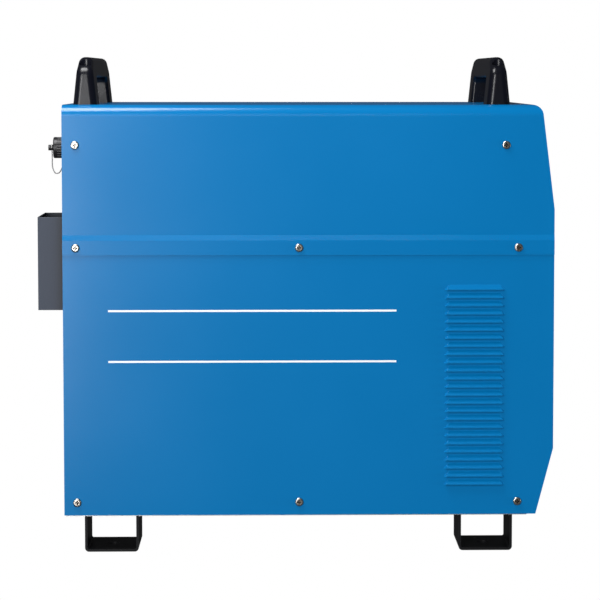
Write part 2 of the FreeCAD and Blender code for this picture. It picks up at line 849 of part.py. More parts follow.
def handle(label, rear_edge):
    """Moulded grip across the machine, drawn in towards its crest, with a screw well in each shoulder."""
    body = piece(label)
    half, gap = S.handle_length / 2, S.handle_gap_length / 2
    foot_level = TOP + S.seat
    end, crest, under = TOP + S.handle_end_height, TOP + S.handle_height, TOP + S.handle_gap_height
    shoulder = half - S.handle_shoulder
    arch = [(-half, foot_level), (-half, end), (-shoulder, crest), (shoulder, crest), (half, end)]
    arch += [(half, foot_level), (gap, foot_level), (gap, under), (-gap, under), (-gap, foot_level)]
    add(body, draw(body, "arch", "YZ_Plane", rear_edge, [arch]), S.handle_width)
    inside, low = gap.number + 0.1, foot_level.number + 0.1
    lean = S.handle_height * tangent(S.handle_draft)

    def level(edge):
        return edge.BoundBox.XLength > (S.handle_width - lean * 2).number - 0.1

    def in_gap(edge):
        return abs(edge.BoundBox.Center.y) < inside and edge.BoundBox.ZMax < crest.number - 1

    def raised(edge):
        return edge.BoundBox.ZMax > low

    soften(body, S.handle_corner, lambda edge: level(edge) and edge.BoundBox.ZMin > low and not in_gap(edge))
    soften(body, S.handle_gap_corner, lambda edge: level(edge) and edge.BoundBox.ZMin > low and in_gap(edge))
    for name, edge, way in (("rear_draft", rear_edge, 1), ("front_draft", rear_edge + S.handle_width, -1)):
        wedge = [(edge, foot_level), (edge + lean * way, crest), (edge + lean * way, crest + OVER)]
        wedge += [(edge - OVER * way, crest + OVER), (edge - OVER * way, foot_level)]
        cut(body, draw(body, name, "XZ_Plane", 0, [wedge]), both=True)
    soften(body, S.handle_round, lambda edge: raised(edge) and not level(edge) and not in_gap(edge))
    soften(body, S.handle_gap_round, lambda edge: raised(edge) and not level(edge) and in_gap(edge))
    middle = rear_edge + S.handle_width / 2
    wells = [(middle, (half - S.handle_pocket_in) * side, S.handle_pocket) for side in (-1, 1)]
    cut(body, draw(body, "wells", "XY_Plane", crest + OVER, circles=wells),
        S.handle_height + OVER - S.handle_pocket_floor, -1)
    return body


REAR_HANDLE = REAR + S.rear_handle_in - S.handle_width / 2
FRONT_HANDLE = FRONT - S.front_handle_in - S.handle_width / 2


def handle_bolts():
    """Cap bolt standing in each well of both handles."""
    body = piece("handle_bolt_pattern")
    floor = TOP + S.handle_pocket_floor + S.seat
    head = S.handle_bolt_head / 2
    half_hex = S.handle_bolt / 2
    rim = floor + S.handle_bolt_head_height
    bottom = floor + S.handle_bolt_head_height / 2
    profile = [(0, floor), (head, floor), (head, rim), (half_hex, rim), (half_hex, bottom), (0, bottom)]
    turn(body, draw(body, "profile", "XZ_Plane", 0, [profile]), "V_Axis")
    offset = (S.handle_length / 2 - S.handle_pocket_in).number
    spots = []
    for rear_edge in (REAR_HANDLE, FRONT_HANDLE):
        middle = (rear_edge + S.handle_width / 2).number
        spots += [at(middle, -offset, 0), at(middle, offset, 0)]
    return copies("handle_bolts", body, spots)


def casing_screws():
    """Pan-head screws with a cross recess, eight on each side."""
    body = piece("casing_screw_pattern")
    head, shank = S.screw_head / 2, S.screw_shank / 2
    dome = S.screw_head_height
    profile = [(0, -S.screw_length), (shank, -S.screw_length), (shank, 0), (head, 0)]
    profile += [(head, dome), (0, dome)]
    turn(body, draw(body, "profile", "XZ_Plane", 0, [profile]), "V_Axis")
    soften(body, S.screw_dome, rim_at("z", dome, head))
    arm, slot = S.recess_arm, S.recess_slot
    cross = [(-arm, -slot), (-slot, -slot), (-slot, -arm), (slot, -arm), (slot, -slot), (arm, -slot)]
    cross += [(arm, slot), (slot, slot), (slot, arm), (-slot, arm), (-slot, slot), (-arm, slot)]
    cut(body, draw(body, "cross", "XY_Plane", dome + OVER, [cross]), S.recess_depth + OVER, -1)
    gap = S.seat.number * 2
    spots = []
    for x, z in COVER_SCREWS + SEAM_SCREWS + LOW_SCREWS:
        proud = S.lap_step.number if (x, z) in SEAM_SCREWS else 0
        out = HALF.number + proud + gap
        spots.append(at(x, -out, z, Vector(1, 0, 0), 90))
        spots.append(at(x, out, z, Vector(1, 0, 0), -90))
    return copies("casing_screws", body, spots)


def rear_box():
    """Open-topped sheet box for small tools and spare nozzles, screwed on through its back."""
    body = piece("rear_box")
    outer = REAR - S.box_reach
    near = -(HALF - S.box_in)
    low = BASE + S.box_up
    shell = rectangle(outer, near, BACK - S.seat, near + S.box_width)
    add(body, draw(body, "shell", "XY_Plane", low, [shell]), S.box_height)
    wall = S.box_sheet
    room = rectangle(outer + wall, near + wall, BACK - wall, near + S.box_width - wall)
    cut(body, draw(body, "room", "XY_Plane", low + wall, [room]), S.box_height, 1)
    return body


def control_socket():
    """Panel socket: a square flange, a round barrel outside and a tail inside."""
    body = piece("control_socket")
    half = S.socket_flange / 2
    plate = rectangle(SOCKET_Y - half, SOCKET_Z - half, SOCKET_Y + half, SOCKET_Z + half)
    out = BACK - S.seat
    add(body, draw(body, "plate", "YZ_Plane", out, [plate]), S.socket_flange_sheet, -1)
    soften(body, S.socket_corner, edges_along("x", plate))
    round_part = [(SOCKET_Y, SOCKET_Z, S.socket_barrel)]
    start = out - S.socket_flange_sheet - S.socket_barrel_length
    length = S.socket_flange_sheet + S.socket_barrel_length + S.socket_tail
    add(body, draw(body, "barrel", "YZ_Plane", start, circles=round_part), length)
    return body


CAP_FACE = BACK - S.socket_flange_sheet - S.fit_gap


def dust_cap():
    """Screw cap with a grip of flats round its rim and a grooved nub for its ring."""
    body = piece("dust_cap")
    rim, bore = S.cap_diameter / 2, S.socket_barrel / 2 + S.cap_play
    outer = -S.cap_length
    nub, neck = S.nub_diameter / 2, S.nub_neck / 2
    tip = outer - S.nub_length
    groove = S.ring_wire + S.fit_gap * 2
    lip = outer - S.nub_lip
    profile = [(0, bore), (0, rim), (outer, rim), (outer, nub), (lip, nub), (lip, neck)]
    profile += [(lip - groove, neck), (lip - groove, nub), (tip, nub), (tip, 0)]
    profile += [(outer + S.cap_lid, 0), (outer + S.cap_lid, bore)]
    turn(body, draw(body, "profile", "XZ_Plane", 0, [profile]), "H_Axis")
    soften(body, S.cap_edge, rim_at("x", outer, rim))
    notch = [(0, rim + S.cap_grip_out, S.cap_grip_size)]
    flute = cut(body, draw(body, "grip", "YZ_Plane", -S.cap_grip_start, circles=notch), S.cap_length, 1)
    ring_of(body, [flute], "X_Axis", S.cap_grip_count)
    for axis, value in zip("xyz", (CAP_FACE, SOCKET_Y, SOCKET_Z)):
        bind(body, f"Placement.Base.{axis}", value)
    return body


def ring_centre():
    return CAP_FACE - S.cap_length - S.nub_lip - S.fit_gap - S.ring_wire / 2


def cap_ring():
    """Wire ring lying in the nub's groove, with the eye that takes the lanyard."""
    ring = doc.addObject("Part::Torus", "cap_ring")
    bind(ring, "Radius1", S.nub_neck / 2 + S.fit_gap + S.ring_wire / 2)
    bind(ring, "Radius2", S.ring_wire / 2)
    ring.Placement = Placement(Vector(), Rotation(Vector(0, 1, 0), 90))
    for axis, value in zip("xyz", (ring_centre(), SOCKET_Y, SOCKET_Z)):
        bind(ring, f"Placement.Base.{axis}", value)
    return ring


BEND_SHARE = 0.45


def rounded_route(points):
    """Straight runs joined by arcs that take BEND_SHARE of the shorter run on each side of a point."""
    edges = []
    start = points[0]
    for before, point, after in zip(points, points[1:], points[2:]):
        run_in, run_out = point - before, after - point
        bend = run_in.getAngle(run_out)
        reach = BEND_SHARE * min(run_in.Length, run_out.Length)
        radius = reach / math.tan(bend / 2)
        print(f"bend of {math.degrees(bend):.0f} degrees, radius {radius:.1f}")
        leave = point - run_in.normalize() * reach
        join = point + run_out.normalize() * reach
        towards = (leave + join) * 0.5 - point
        depth = radius / math.cos(bend / 2) - radius
        edges.append(Part.LineSegment(start, leave).toShape())
        edges.append(Part.Arc(leave, point + towards.normalize() * depth, join).toShape())
        start = join
    edges.append(Part.LineSegment(start, points[-1]).toShape())
    return Part.Wire(edges)


def tube(label, points, diameter):
    route = rounded_route(points)
    heading = points[1] - points[0]
    ring = Part.Wire(Part.Circle(points[0], heading, diameter / 2).toShape())
    solid = route.makePipeShell([ring], True, False)
    expected = math.pi * diameter ** 2 / 4 * route.Length
    print(f"{label}: {route.Length:.0f} mm long, volume {solid.Volume / expected:.3f} of section by length")
    node = doc.addObject("Part::Feature", label)
    node.Label = label
    node.Shape = solid
    return node


# The cord's course, as steps from the lowest point of the ring, and its end's steps from there
LANYARD = [(0, 0, -0.1), (0.4, 0, -7), (0.2, -0.5, -14.5), (0.7, -1, -22), (4.2, -1.5, -28.5), (9.6, -1, -27)]
LANYARD += [(12.4, 0, -20.5), (13.8, 1, -15)]
LANYARD_END = (1.5, -10.5)


def cap_lanyard():
    """Thin braided cord from the cap's ring, hanging in a loop and back to the socket's flange."""
    ring = S.nub_neck / 2 + S.fit_gap + S.ring_wire
    x, y, z = ring_centre().number, SOCKET_Y.number, (SOCKET_Z - ring).number
    points = [Vector(x + dx, y + dy, z + dz) for dx, dy, dz in LANYARD]
    end_x = (BACK - S.socket_flange_sheet - S.lanyard_diameter).number
    end = Vector(end_x, y + LANYARD_END[0], z + LANYARD_END[1])
    return tube("cap_lanyard", points + [end], S.lanyard_diameter.number)


def fan():
    """Axial fan: square frame with a round duct, the motor plate on arms, and the bladed rotor."""
    start = BACK + S.skin + S.seat
    end = start + S.fan_depth
    body = piece("fan_frame")
    half = S.fan_frame / 2
    square = rectangle(-half, FAN - half, half, FAN + half)
    for name, edge, way in (("rear", start, 1), ("front", end, -1)):
        add(body, draw(body, name, "YZ_Plane", edge, [square], [(0, FAN, S.fan_bore)]), S.fan_flange, way)
    soften(body, S.fan_corner, edges_along("x", square))
    duct = [(0, FAN, S.fan_bore), (0, FAN, S.fan_bore + S.fan_wall * 2)]
    add(body, draw(body, "duct", "YZ_Plane", start, circles=duct), S.fan_depth)
    plate = [(0, FAN, S.fan_hub)]
    add(body, draw(body, "motor_plate", "YZ_Plane", end, circles=plate), S.fan_motor_plate, -1)
    arm, reach = S.fan_motor_plate, S.fan_bore / 2 + S.fan_wall / 2
    for name, bar in (("upright", rectangle(-arm, FAN - reach, arm, FAN + reach)),
                      ("level", rectangle(-reach, FAN - arm, reach, FAN + arm))):
        add(body, draw(body, name, "YZ_Plane", end, [bar]), S.fan_motor_plate, -1)
    spin = piece("fan_rotor")
    depth = S.fan_depth - S.fan_motor_plate - S.fan_flange
    add(spin, draw(spin, "hub", "YZ_Plane", 0, circles=[(0, 0, S.fan_hub)]), depth, -1)
    pitch = math.radians(S.fan_blade_pitch.number)

    def section(name, level, chord):
        """Blade section: a thin slanted strip in the X and Y directions."""
        along = (chord * math.cos(pitch) / 2, chord * math.sin(pitch) / 2)
        thick = (S.fan_blade_sheet * math.sin(pitch) / 2, S.fan_blade_sheet * math.cos(pitch) / 2)
        x0 = -depth / 2
        rear, front = x0 - along[0], x0 + along[0]
        corners = [(rear - thick[0], along[1] - thick[1]), (front - thick[0], -along[1] - thick[1])]
        corners += [(front + thick[0], -along[1] + thick[1]), (rear + thick[0], along[1] + thick[1])]
        return draw(spin, name, "XY_Plane", level, [corners])

    root = section("blade_root", S.fan_hub / 2 - S.fan_root_sunk, S.fan_root_chord)
    tip = section("blade_tip", S.fan_bore / 2 - S.fan_blade_gap, S.fan_blade_chord)
    blade = spin.newObject("PartDesign::AdditiveLoft", "fan_blade")
    blade.Profile = root
    blade.Sections = [tip]
    blade.Ruled = True
    ring_of(spin, [blade], "X_Axis", S.fan_blade_count)
    for axis, value in zip("xyz", (end - S.fan_motor_plate - S.fit_gap, 0, FAN)):
        bind(spin, f"Placement.Base.{axis}", value)
    guard = piece("fan_guard")
    front = BACK - S.seat
    for i in range(SIZES["guard_count"]):
        outer = S.fan_bore + S.guard_ring * 2 - S.guard_pitch * 2 * i
        ring = [(0, FAN, outer), (0, FAN, outer - S.guard_ring * 2)]
        add(guard, draw(guard, f"ring_{i}", "YZ_Plane", front, circles=ring), S.guard_ring, -1)
    cap = S.fan_bore + S.guard_ring - S.guard_pitch * 2 * S.guard_count
    add(guard, draw(guard, "centre", "YZ_Plane", front, circles=[(0, FAN, cap)]), S.guard_ring, -1)
    reach, arm = S.fan_bore / 2 + S.guard_ring / 2, S.guard_bar / 2
    for name, bar in (("upright", rectangle(-arm, FAN - reach, arm, FAN + reach)),
                      ("level", rectangle(-reach, FAN - arm, reach, FAN + arm))):
        add(guard, draw(guard, name, "YZ_Plane", front, [bar]), S.guard_ring, -1)
    return body, spin, guard


def breaker():
    """Three-pole breaker behind the rear panel, its nose in a cut-out and one wide lever."""
    body = piece("breaker_body")
    side, inner = S.breaker_side, BACK + S.skin + S.seat
    half, tall = S.breaker_width / 2, S.breaker_tall / 2
    case = rectangle(side - half, BREAKER - tall, side + half, BREAKER + tall)
    add(body, draw(body, "case", "YZ_Plane", inner, [case]), S.breaker_deep)
    nose_half = S.breaker_nose_tall / 2
    nose = rectangle(side - half, BREAKER - nose_half, side + half, BREAKER + nose_half)
    add(body, draw(body, "nose", "YZ_Plane", inner, [nose]), S.breaker_nose + S.skin, -1)
    slot_half = S.breaker_slot_tall / 2
    room = S.lever_width / 2 + S.fit_gap * 2
    slot = rectangle(side - room, BREAKER - slot_half, side + room, BREAKER + slot_half)
    face = inner - S.skin - S.breaker_nose
    cut(body, draw(body, "slot", "YZ_Plane", face - OVER, [slot]), OVER + S.breaker_slot_deep, 1)
    lever = piece("breaker_lever")
    drum, blade = S.lever_drum, S.lever_blade / 2
    add(lever, draw(lever, "drum", "XZ_Plane", 0, circles=[(0, 0, drum * 2)]), S.lever_width, both=True)
    finger = rectangle(-S.lever_reach, -blade, 0, blade)
    add(lever, draw(lever, "finger", "XZ_Plane", 0, [finger]), S.lever_width, both=True)
    lever.Placement = Placement(Vector(), Rotation(Vector(0, 1, 0), -S.lever_rest_tilt.number))
    pivot = face + S.breaker_slot_deep - drum - S.fit_gap
    for axis, value in zip("xyz", (pivot, side, BREAKER)):
        bind(lever, f"Placement.Base.{axis}", value)
    return body, lever


def hexagon(u, v, across):
    """Corners of a hexagon given its width across flats."""
    radius = across / math.sqrt(3)
    angles = [math.radians(60 * i) for i in range(6)]
    return [(u + radius * math.cos(a), v + radius * math.sin(a)) for a in angles]


def cable_gland():
    """Clamp gland for the supply cable: hexagon collar outside, domed nut, thread and nut inside."""
    body = piece("cable_gland")
    out, inner = BACK - S.seat, BACK + S.skin + S.seat
    flats = hexagon(GLAND_Y, GLAND, S.gland_hex)
    add(body, draw(body, "collar", "YZ_Plane", out, [flats]), S.gland_collar, -1)
    dome = [(GLAND_Y, GLAND, S.gland_dome)]
    add(body, draw(body, "dome", "YZ_Plane", out, circles=dome), S.gland_reach, -1)
    thread = [(GLAND_Y, GLAND, S.gland_thread)]
    add(body, draw(body, "thread", "YZ_Plane", out, circles=thread), S.gland_tail)
    bore = [(GLAND_Y, GLAND, S.gland_bore)]
    cut(body, draw(body, "bore", "YZ_Plane", out - S.gland_reach - OVER, circles=bore), way=1)
    add(body, draw(body, "nut", "YZ_Plane", inner, [flats], bore), S.gland_nut)
    return body


def gas_inlet():
    """Hexagon bulkhead with a hose barb outside and a stub inside."""
    body = piece("gas_inlet")
    rib, neck, bore = S.gas_barb / 2, S.gas_barb / 2 - S.gas_rib, S.gas_bore / 2
    out, tip = -S.seat, -S.gas_reach
    ribs = (S.gas_reach - S.gas_collar) / 3
    profile = [(S.gas_tail, bore), (S.gas_tail, rib), (out, rib), (-S.gas_collar, rib)]
    profile += [(-S.gas_collar - ribs, neck), (-S.gas_collar - ribs, rib)]
    profile += [(-S.gas_collar - ribs * 2, neck), (-S.gas_collar - ribs * 2, rib), (tip, neck), (tip, bore)]
    turn(body, draw(body, "profile", "XZ_Plane", 0, [profile]), "H_Axis")
    collar = hexagon(sized(0), sized(0), S.gas_hex)
    add(body, draw(body, "collar", "YZ_Plane", out, [collar], [(0, 0, S.gas_bore)]), S.gas_collar, -1)
    for axis, value in zip("xyz", (BACK, GAS_Y, GAS)):
        bind(body, f"Placement.Base.{axis}", value)
    return body


def earth_stud():
    """Threaded stud through the rear panel with a nut on each side."""
    body = piece("earth_stud")
    shank = [(STUD_Y, STUD, S.stud_diameter)]
    inner = BACK + S.skin + S.seat
    length = S.stud_reach + S.skin + S.stud_nut
    add(body, draw(body, "shank", "YZ_Plane", BACK - S.stud_reach, circles=shank), length)
    nut = hexagon(STUD_Y, STUD, S.stud_nut)
    add(body, draw(body, "outer_nut", "YZ_Plane", BACK - S.seat, [nut]), S.stud_nut_tall, -1)
    add(body, draw(body, "inner_nut", "YZ_Plane", inner, [nut]), S.stud_nut_tall)
    return body


def on_slope(target, side, z):
    """Stand a piece built along +X from its own origin square on the sloped control face."""
    target.Placement = Placement(Vector(), Rotation(Vector(0, 1, 0), -S.front_slope.number))
    bind(target, "Placement.Base.x", sloped_face(z) + S.seat * 2)
    bind(target, "Placement.Base.y", side)
    bind(target, "Placement.Base.z", z)
    return target


def meter():
    """Digital ammeter: bezel and case in one moulding, with its window in front."""
    body = piece("meter_case")
    half, tall = S.meter_width / 2, S.meter_tall / 2
    bezel = rectangle(-half, -tall, half, tall)
    add(body, draw(body, "bezel", "YZ_Plane", 0, [bezel]), S.meter_bezel)
    soften(body, S.meter_corner, edges_along("x", bezel))
    room, high = half - S.meter_wall, tall - S.meter_wall
    case = rectangle(-room, -high, room, high)
    add(body, draw(body, "case", "YZ_Plane", 0, [case]), S.meter_deep, -1)
    wide, tall = room - S.meter_wall, high - S.meter_wall
    view = rectangle(-wide, -tall, wide, tall)
    depth = S.meter_view_depth
    cut(body, draw(body, "view", "YZ_Plane", S.meter_bezel + OVER, [view]), depth + OVER, -1)
    window = piece("meter_window")
    wide, tall = wide - S.fit_gap, tall - S.fit_gap
    pane = rectangle(-wide, -tall, wide, tall)
    behind = S.meter_bezel - depth + S.seat * 5
    add(window, draw(window, "pane", "YZ_Plane", behind, [pane]), S.meter_glass)
    return on_slope(body, 0, METER), on_slope(window, 0, METER)


def indicator_lamps():
    """Three domed panel lamps in a row beside the meter."""
    body = piece("lamp_pattern")
    lens, rim, sheet = S.lamp_diameter / 2, S.lamp_rim / 2, S.lamp_rim_sheet
    profile = [(-S.lamp_tail, 0), (-S.lamp_tail, lens), (0, lens), (0, rim), (sheet, rim), (sheet, lens)]
    profile += [(S.lamp_shoulder, lens), (S.lamp_reach, S.lamp_lens_top / 2), (S.lamp_reach, 0)]
    turn(body, draw(body, "profile", "XZ_Plane", 0, [profile]), "H_Axis")
    spots = []
    for i in range(-1, 2):
        x = sloped_face(METER) + S.seat * 2
        spots.append(at(x, S.lamp_side + i * S.lamp_pitch, METER, Vector(0, 1, 0), -S.front_slope.number))
    return copies("indicator_lamps", body, spots)


def current_control():
    """Potentiometer behind the face, its shaft, and the knob on the shaft."""
    pot = piece("potentiometer")
    can, bushing = S.pot_diameter / 2, S.pot_bushing / 2
    bore = S.knob_shaft / 2 + S.shaft_play
    reach = S.nut_sheet + S.pot_proud
    behind = -S.skin - S.seat * 10
    profile = [(behind - S.pot_depth, 0), (behind - S.pot_depth, can), (behind, can), (behind, bushing)]
    profile += [(reach, bushing), (reach, bore), (-S.skin, bore), (-S.skin, 0)]
    turn(pot, draw(pot, "profile", "XZ_Plane", 0, [profile]), "H_Axis")
    nut = hexagon(sized(0), sized(0), S.pot_nut)
    inside = [(0, 0, S.pot_bushing - S.pot_proud)]
    add(pot, draw(pot, "nut", "YZ_Plane", 0, [nut], inside), S.nut_sheet)
    shaft = piece("knob_shaft")
    full = reach + S.knob_height - S.knob_skirt
    spindle = draw(shaft, "spindle", "YZ_Plane", -S.skin + S.fit_gap, circles=[(0, 0, S.knob_shaft)])
    add(shaft, spindle, full - S.fit_gap * 2)
    knob = piece("current_knob")
    start = reach + S.knob_gap
    skirt, grip, crown = S.knob_diameter / 2, S.knob_grip / 2, S.knob_top / 2
    ledge, top, bottom = start + S.knob_skirt, start + S.knob_height, full + S.shaft_play * 4
    outline = [(start, bore), (start, skirt), (ledge, skirt), (ledge, grip), (top, crown), (top, 0)]
    outline += [(bottom, 0), (bottom, bore)]
    turn(knob, draw(knob, "profile", "XZ_Plane", 0, [outline]), "H_Axis")
    soften(knob, S.knob_edge, rim_at("x", top, crown))
    flute = draw(knob, "flute", "YZ_Plane", ledge, circles=[(0, grip + S.knob_flute_out, S.knob_flute)])
    ring_of(knob, [cut(knob, flute, S.knob_height, 1)], "X_Axis", S.knob_flute_count)
    return [on_slope(target, 0, KNOB) for target in (pot, shaft, knob)]


def toggle(name, side):
    """Bat-lever switch: body and bushing in the face, and the lever with its ball in the bushing."""
    body = piece(f"{name}_switch")
    half, wide = S.toggle_body / 2, S.toggle_body_width / 2
    behind = -S.skin - S.seat * 10
    case = rectangle(-wide, -half, wide, half)
    add(body, draw(body, "case", "YZ_Plane", behind, [case]), S.toggle_body_depth, -1)
    reach = S.toggle_bushing_reach
    barrel = draw(body, "bushing", "YZ_Plane", behind, circles=[(0, 0, S.toggle_bushing)])
    add(body, barrel, reach - behind)
    nut = hexagon(sized(0), sized(0), S.toggle_nut)
    add(body, draw(body, "nut", "YZ_Plane", 0, [nut]), S.nut_sheet)
    mouth = draw(body, "mouth", "YZ_Plane", reach + OVER, circles=[(0, 0, S.toggle_bore)])
    cut(body, mouth, S.toggle_mouth + OVER, -1)
    lever = piece(f"{name}_lever")
    ball, tip = S.toggle_ball / 2, S.toggle_tip / 2
    neck = (ball * cosine(S.toggle_neck_angle), ball * sine(S.toggle_neck_angle))
    bat = [(-neck[0], 0), (-neck[0], neck[1]), neck, (S.toggle_reach, tip), (S.toggle_reach, 0)]
    turn(lever, draw(lever, "bat", "XZ_Plane", 0, [bat], arcs={1: (0, 0)}), "H_Axis")
    soften(lever, S.toggle_tip_round, rim_at("x", S.toggle_reach, tip))
    pin = draw(lever, "pin", "XZ_Plane", 0, circles=[(0, 0, S.toggle_pin)])
    add(lever, pin, S.toggle_pin_length, both=True)
    on_slope(body, side, KNOB)
    slope = S.front_slope.number
    lever.Placement = Placement(Vector(), Rotation(Vector(0, 1, 0), -slope + S.toggle_tilt.number))
    bind(lever, "Placement.Base.x", sloped_face(KNOB) + S.toggle_pivot * cosine(S.front_slope))
    bind(lever, "Placement.Base.y", side)
    bind(lever, "Placement.Base.z", KNOB + S.toggle_pivot * sine(S.front_slope))
    return body, lever


def outlet(label, side, flange, barrel, bore, reach, depth):
    """Round panel outlet: a flange against the face, a barrel each side of it and a blind bore."""
    body = piece(label)
    face = FACE + S.seat
    add(body, draw(body, "flange", "YZ_Plane", face, circles=[(side, OUTLET, flange)]), S.outlet_sheet)
    tail = face - S.outlet_tail
    run = draw(body, "barrel", "YZ_Plane", tail, circles=[(side, OUTLET, barrel)])
    add(body, run, reach + S.outlet_tail)
    mouth = draw(body, "bore", "YZ_Plane", face + reach + OVER, circles=[(side, OUTLET, bore)])
    cut(body, mouth, depth + OVER, -1)
    return body


def outlets():
    """Torch connector, torch trigger socket and work-clamp socket in a row."""
    outlet("torch_connector", -S.outlet_side, S.torch_flange, S.torch_barrel, S.torch_bore,
           S.torch_reach, S.bore_depth)
    outlet("trigger_socket", sized(0), S.trigger_flange, S.trigger_barrel, S.trigger_bore,
           S.trigger_reach, S.trigger_depth)
    outlet("work_socket", S.outlet_side, S.work_flange, S.work_barrel, S.work_insert + S.insert_play,
           S.work_reach, S.bore_depth)
    insert = piece("work_socket_insert")
    bottom = FACE + S.work_reach - S.bore_depth + S.seat * 2
    tube_round = [(S.outlet_side, OUTLET, S.work_insert)]
    run = draw(insert, "tube", "YZ_Plane", bottom, circles=tube_round)
    add(insert, run, S.bore_depth - S.insert_short)
    mouth = [(S.outlet_side, OUTLET, S.work_bore)]
    cut(insert, draw(insert, "bore", "YZ_Plane", bottom + S.insert_floor, circles=mouth), S.bore_depth, 1)


SINK = REAR + S.sink_from_rear
SINK_TOP = DECK + S.sink_tall
SINK_LENGTH = FRONT - S.coil_from_front - S.transformer_width / 2 - S.sink_clear - SINK


def heat_sink(label, side):
    """Finned block beside the air path: its plate outside, its fins level and turned inwards."""
    body = piece(label)
    plate_in = (S.sink_apart / 2 + S.sink_fin_reach) * side
    low = DECK + S.seat
    plate = rectangle(SINK, low, SINK + SINK_LENGTH, SINK_TOP)
    add(body, draw(body, "plate", "XZ_Plane", plate_in, [plate]), S.sink_plate, side)
    step = (S.sink_tall - S.sink_fin) / (S.sink_fin_count - 1)
    fin = rectangle(SINK, low, SINK + SINK_LENGTH, low + S.sink_fin)
    blade = add(body, draw(body, "fin", "XZ_Plane", plate_in, [fin]), S.sink_fin_reach, -side)
    repeat(body, [blade], "Z_Axis", S.sink_fin_count, step)
    return body


MODULE_FACE = S.sink_apart / 2 + S.sink_fin_reach + S.sink_plate


def power_modules(label, side):
    """Power modules on the outer face of a heat sink, one above the other."""
    body = piece(f"{label}_pattern")
    room = S.sink_tall - S.module_pitch * (S.module_count - 1) - S.module_tall
    low = DECK + room / 2
    start = SINK + (SINK_LENGTH - S.module_length) / 2
    case = rectangle(start, low, start + S.module_length, low + S.module_tall)
    face = (MODULE_FACE + S.seat) * side
    add(body, draw(body, "case", "XZ_Plane", face, [case]), S.module_deep, side)
    pitch = S.module_pitch.number
    return copies(label, body, [at(0, 0, pitch * i) for i in range(SIZES["module_count"])])


def drive_board():
    """Upright circuit board on the faces of the right-hand modules, with its capacitors outwards."""
    near = -(MODULE_FACE + S.module_deep + S.board_sheet + S.seat * 3)
    block("drive_board", (SINK, near, DECK + S.module_tall / 2),
          (SINK_LENGTH, S.board_sheet, S.sink_tall - S.module_tall))
    body = piece("capacitor_pattern")
    first = SINK + S.capacitor_edge + S.capacitor_diameter / 2
    room = SINK_LENGTH - S.capacitor_edge * 2 - S.capacitor_diameter
    height = DECK + S.sink_tall / 2
    spot = [(first, height, S.capacitor_diameter)]
    add(body, draw(body, "can", "XZ_Plane", near - S.seat, circles=spot), S.capacitor_length, -1)
    pitch = (room / (S.capacitor_count - 1)).number
    copies("bus_capacitors", body, [at(pitch * i, 0, 0) for i in range(SIZES["capacitor_count"])])


def wound_part(name, middle_x, middle_y, width, tall, deep):
    """Laminated shell core lying across the tray, with its winding on the middle limb."""
    core = piece(f"{name}_core")
    half, low = width / 2, DECK + S.seat
    limb, yoke = width * S.limb_share / 2, width * S.yoke_share
    outer = rectangle(middle_x - half, low, middle_x + half, low + tall)
    left = rectangle(middle_x - half + yoke, low + yoke, middle_x - limb, low + tall - yoke)
    right = rectangle(middle_x + limb, low + yoke, middle_x + half - yoke, low + tall - yoke)
    add(core, draw(core, "lamination", "XZ_Plane", middle_y - deep / 2, [outer, left, right]), deep)
    coil = piece(f"{name}_winding")
    gap = S.winding_gap
    across, along = half - yoke - gap, deep / 2 + S.winding_proud
    ring = rectangle(middle_x - across, middle_y - along, middle_x + across, middle_y + along)
    limb_room, core_room = limb + S.winding_fit, deep / 2 + S.winding_fit
    hole = rectangle(middle_x - limb_room, middle_y - core_room, middle_x + limb_room, middle_y + core_room)
    turns = draw(coil, "turns", "XY_Plane", low + yoke + S.winding_fit, [ring, hole])
    add(coil, turns, tall - yoke * 2 - S.winding_fit * 2)
    soften(coil, S.winding_corner, edges_along("z", ring))
    return core, coil


def wound_parts():
    """Main transformer, output choke and the small control transformer, all standing on the tray."""
    x = FRONT - S.coil_from_front
    transformer_y = -(S.transformer_deep + S.winding_proud)
    wound_part("transformer", x, transformer_y, S.transformer_width, S.transformer_tall, S.transformer_deep)
    wound_part("choke", x, S.choke_deep / 2, S.choke_width, S.choke_tall, S.choke_deep)
    choke_edge = S.choke_deep + S.winding_proud
    control_y = choke_edge + S.coil_apart + S.control_coil_deep / 2 + S.winding_proud
    wound_part("control_transformer", x, control_y, S.control_coil_width, S.control_coil_tall,
               S.control_coil_deep)


def shelf_units():
    """Control board on its standoffs and the pilot-arc ignition unit in front of it."""
    level = BASE + S.shelf_height + S.skin
    rear = BACK + S.panel_flange + S.breaker_deep
    half = S.board_width / 2
    block("control_board", (rear, -half, level + S.standoff + S.seat * 2),
          (S.board_length, S.board_width, S.board_sheet))
    body = piece("standoff_pattern")
    post = [(0, 0, S.standoff_diameter)]
    add(body, draw(body, "post", "XY_Plane", level + S.seat, circles=post), S.standoff)
    inset = S.standoff_diameter.number
    near, far = (half - inset).number, (rear + inset).number
    spots = [at(x, y, 0) for x in (far, far + S.board_length.number - 2 * inset) for y in (-near, near)]
    copies("board_standoffs", body, spots)
    front = rear + S.board_length + S.ignition_from_board
    block("ignition_unit", (front, -S.ignition_width / 2, level + S.seat),
          (S.ignition_length, S.ignition_width, S.ignition_tall))


# The hose's course: beside the tray's edge as shares of that run, round the wound parts as distances
# back from its end, and up to the connector as steps from its end. The rest are sideways and up.
HOSE_RUN = [(0.07, 0, 0), (0.25, 1, 4), (0.5, -4, 4), (0.75, -2, 2)]
HOSE_TURNS = [(204, 2, 4), (152, 0, 12), (110, -14, 26), (80, -52, 44), (74, -104, 62), (76, -156, 82)]
HOSE_END = [(-62, 26, 3), (-30, 0, 0), (0, 0, 0)]


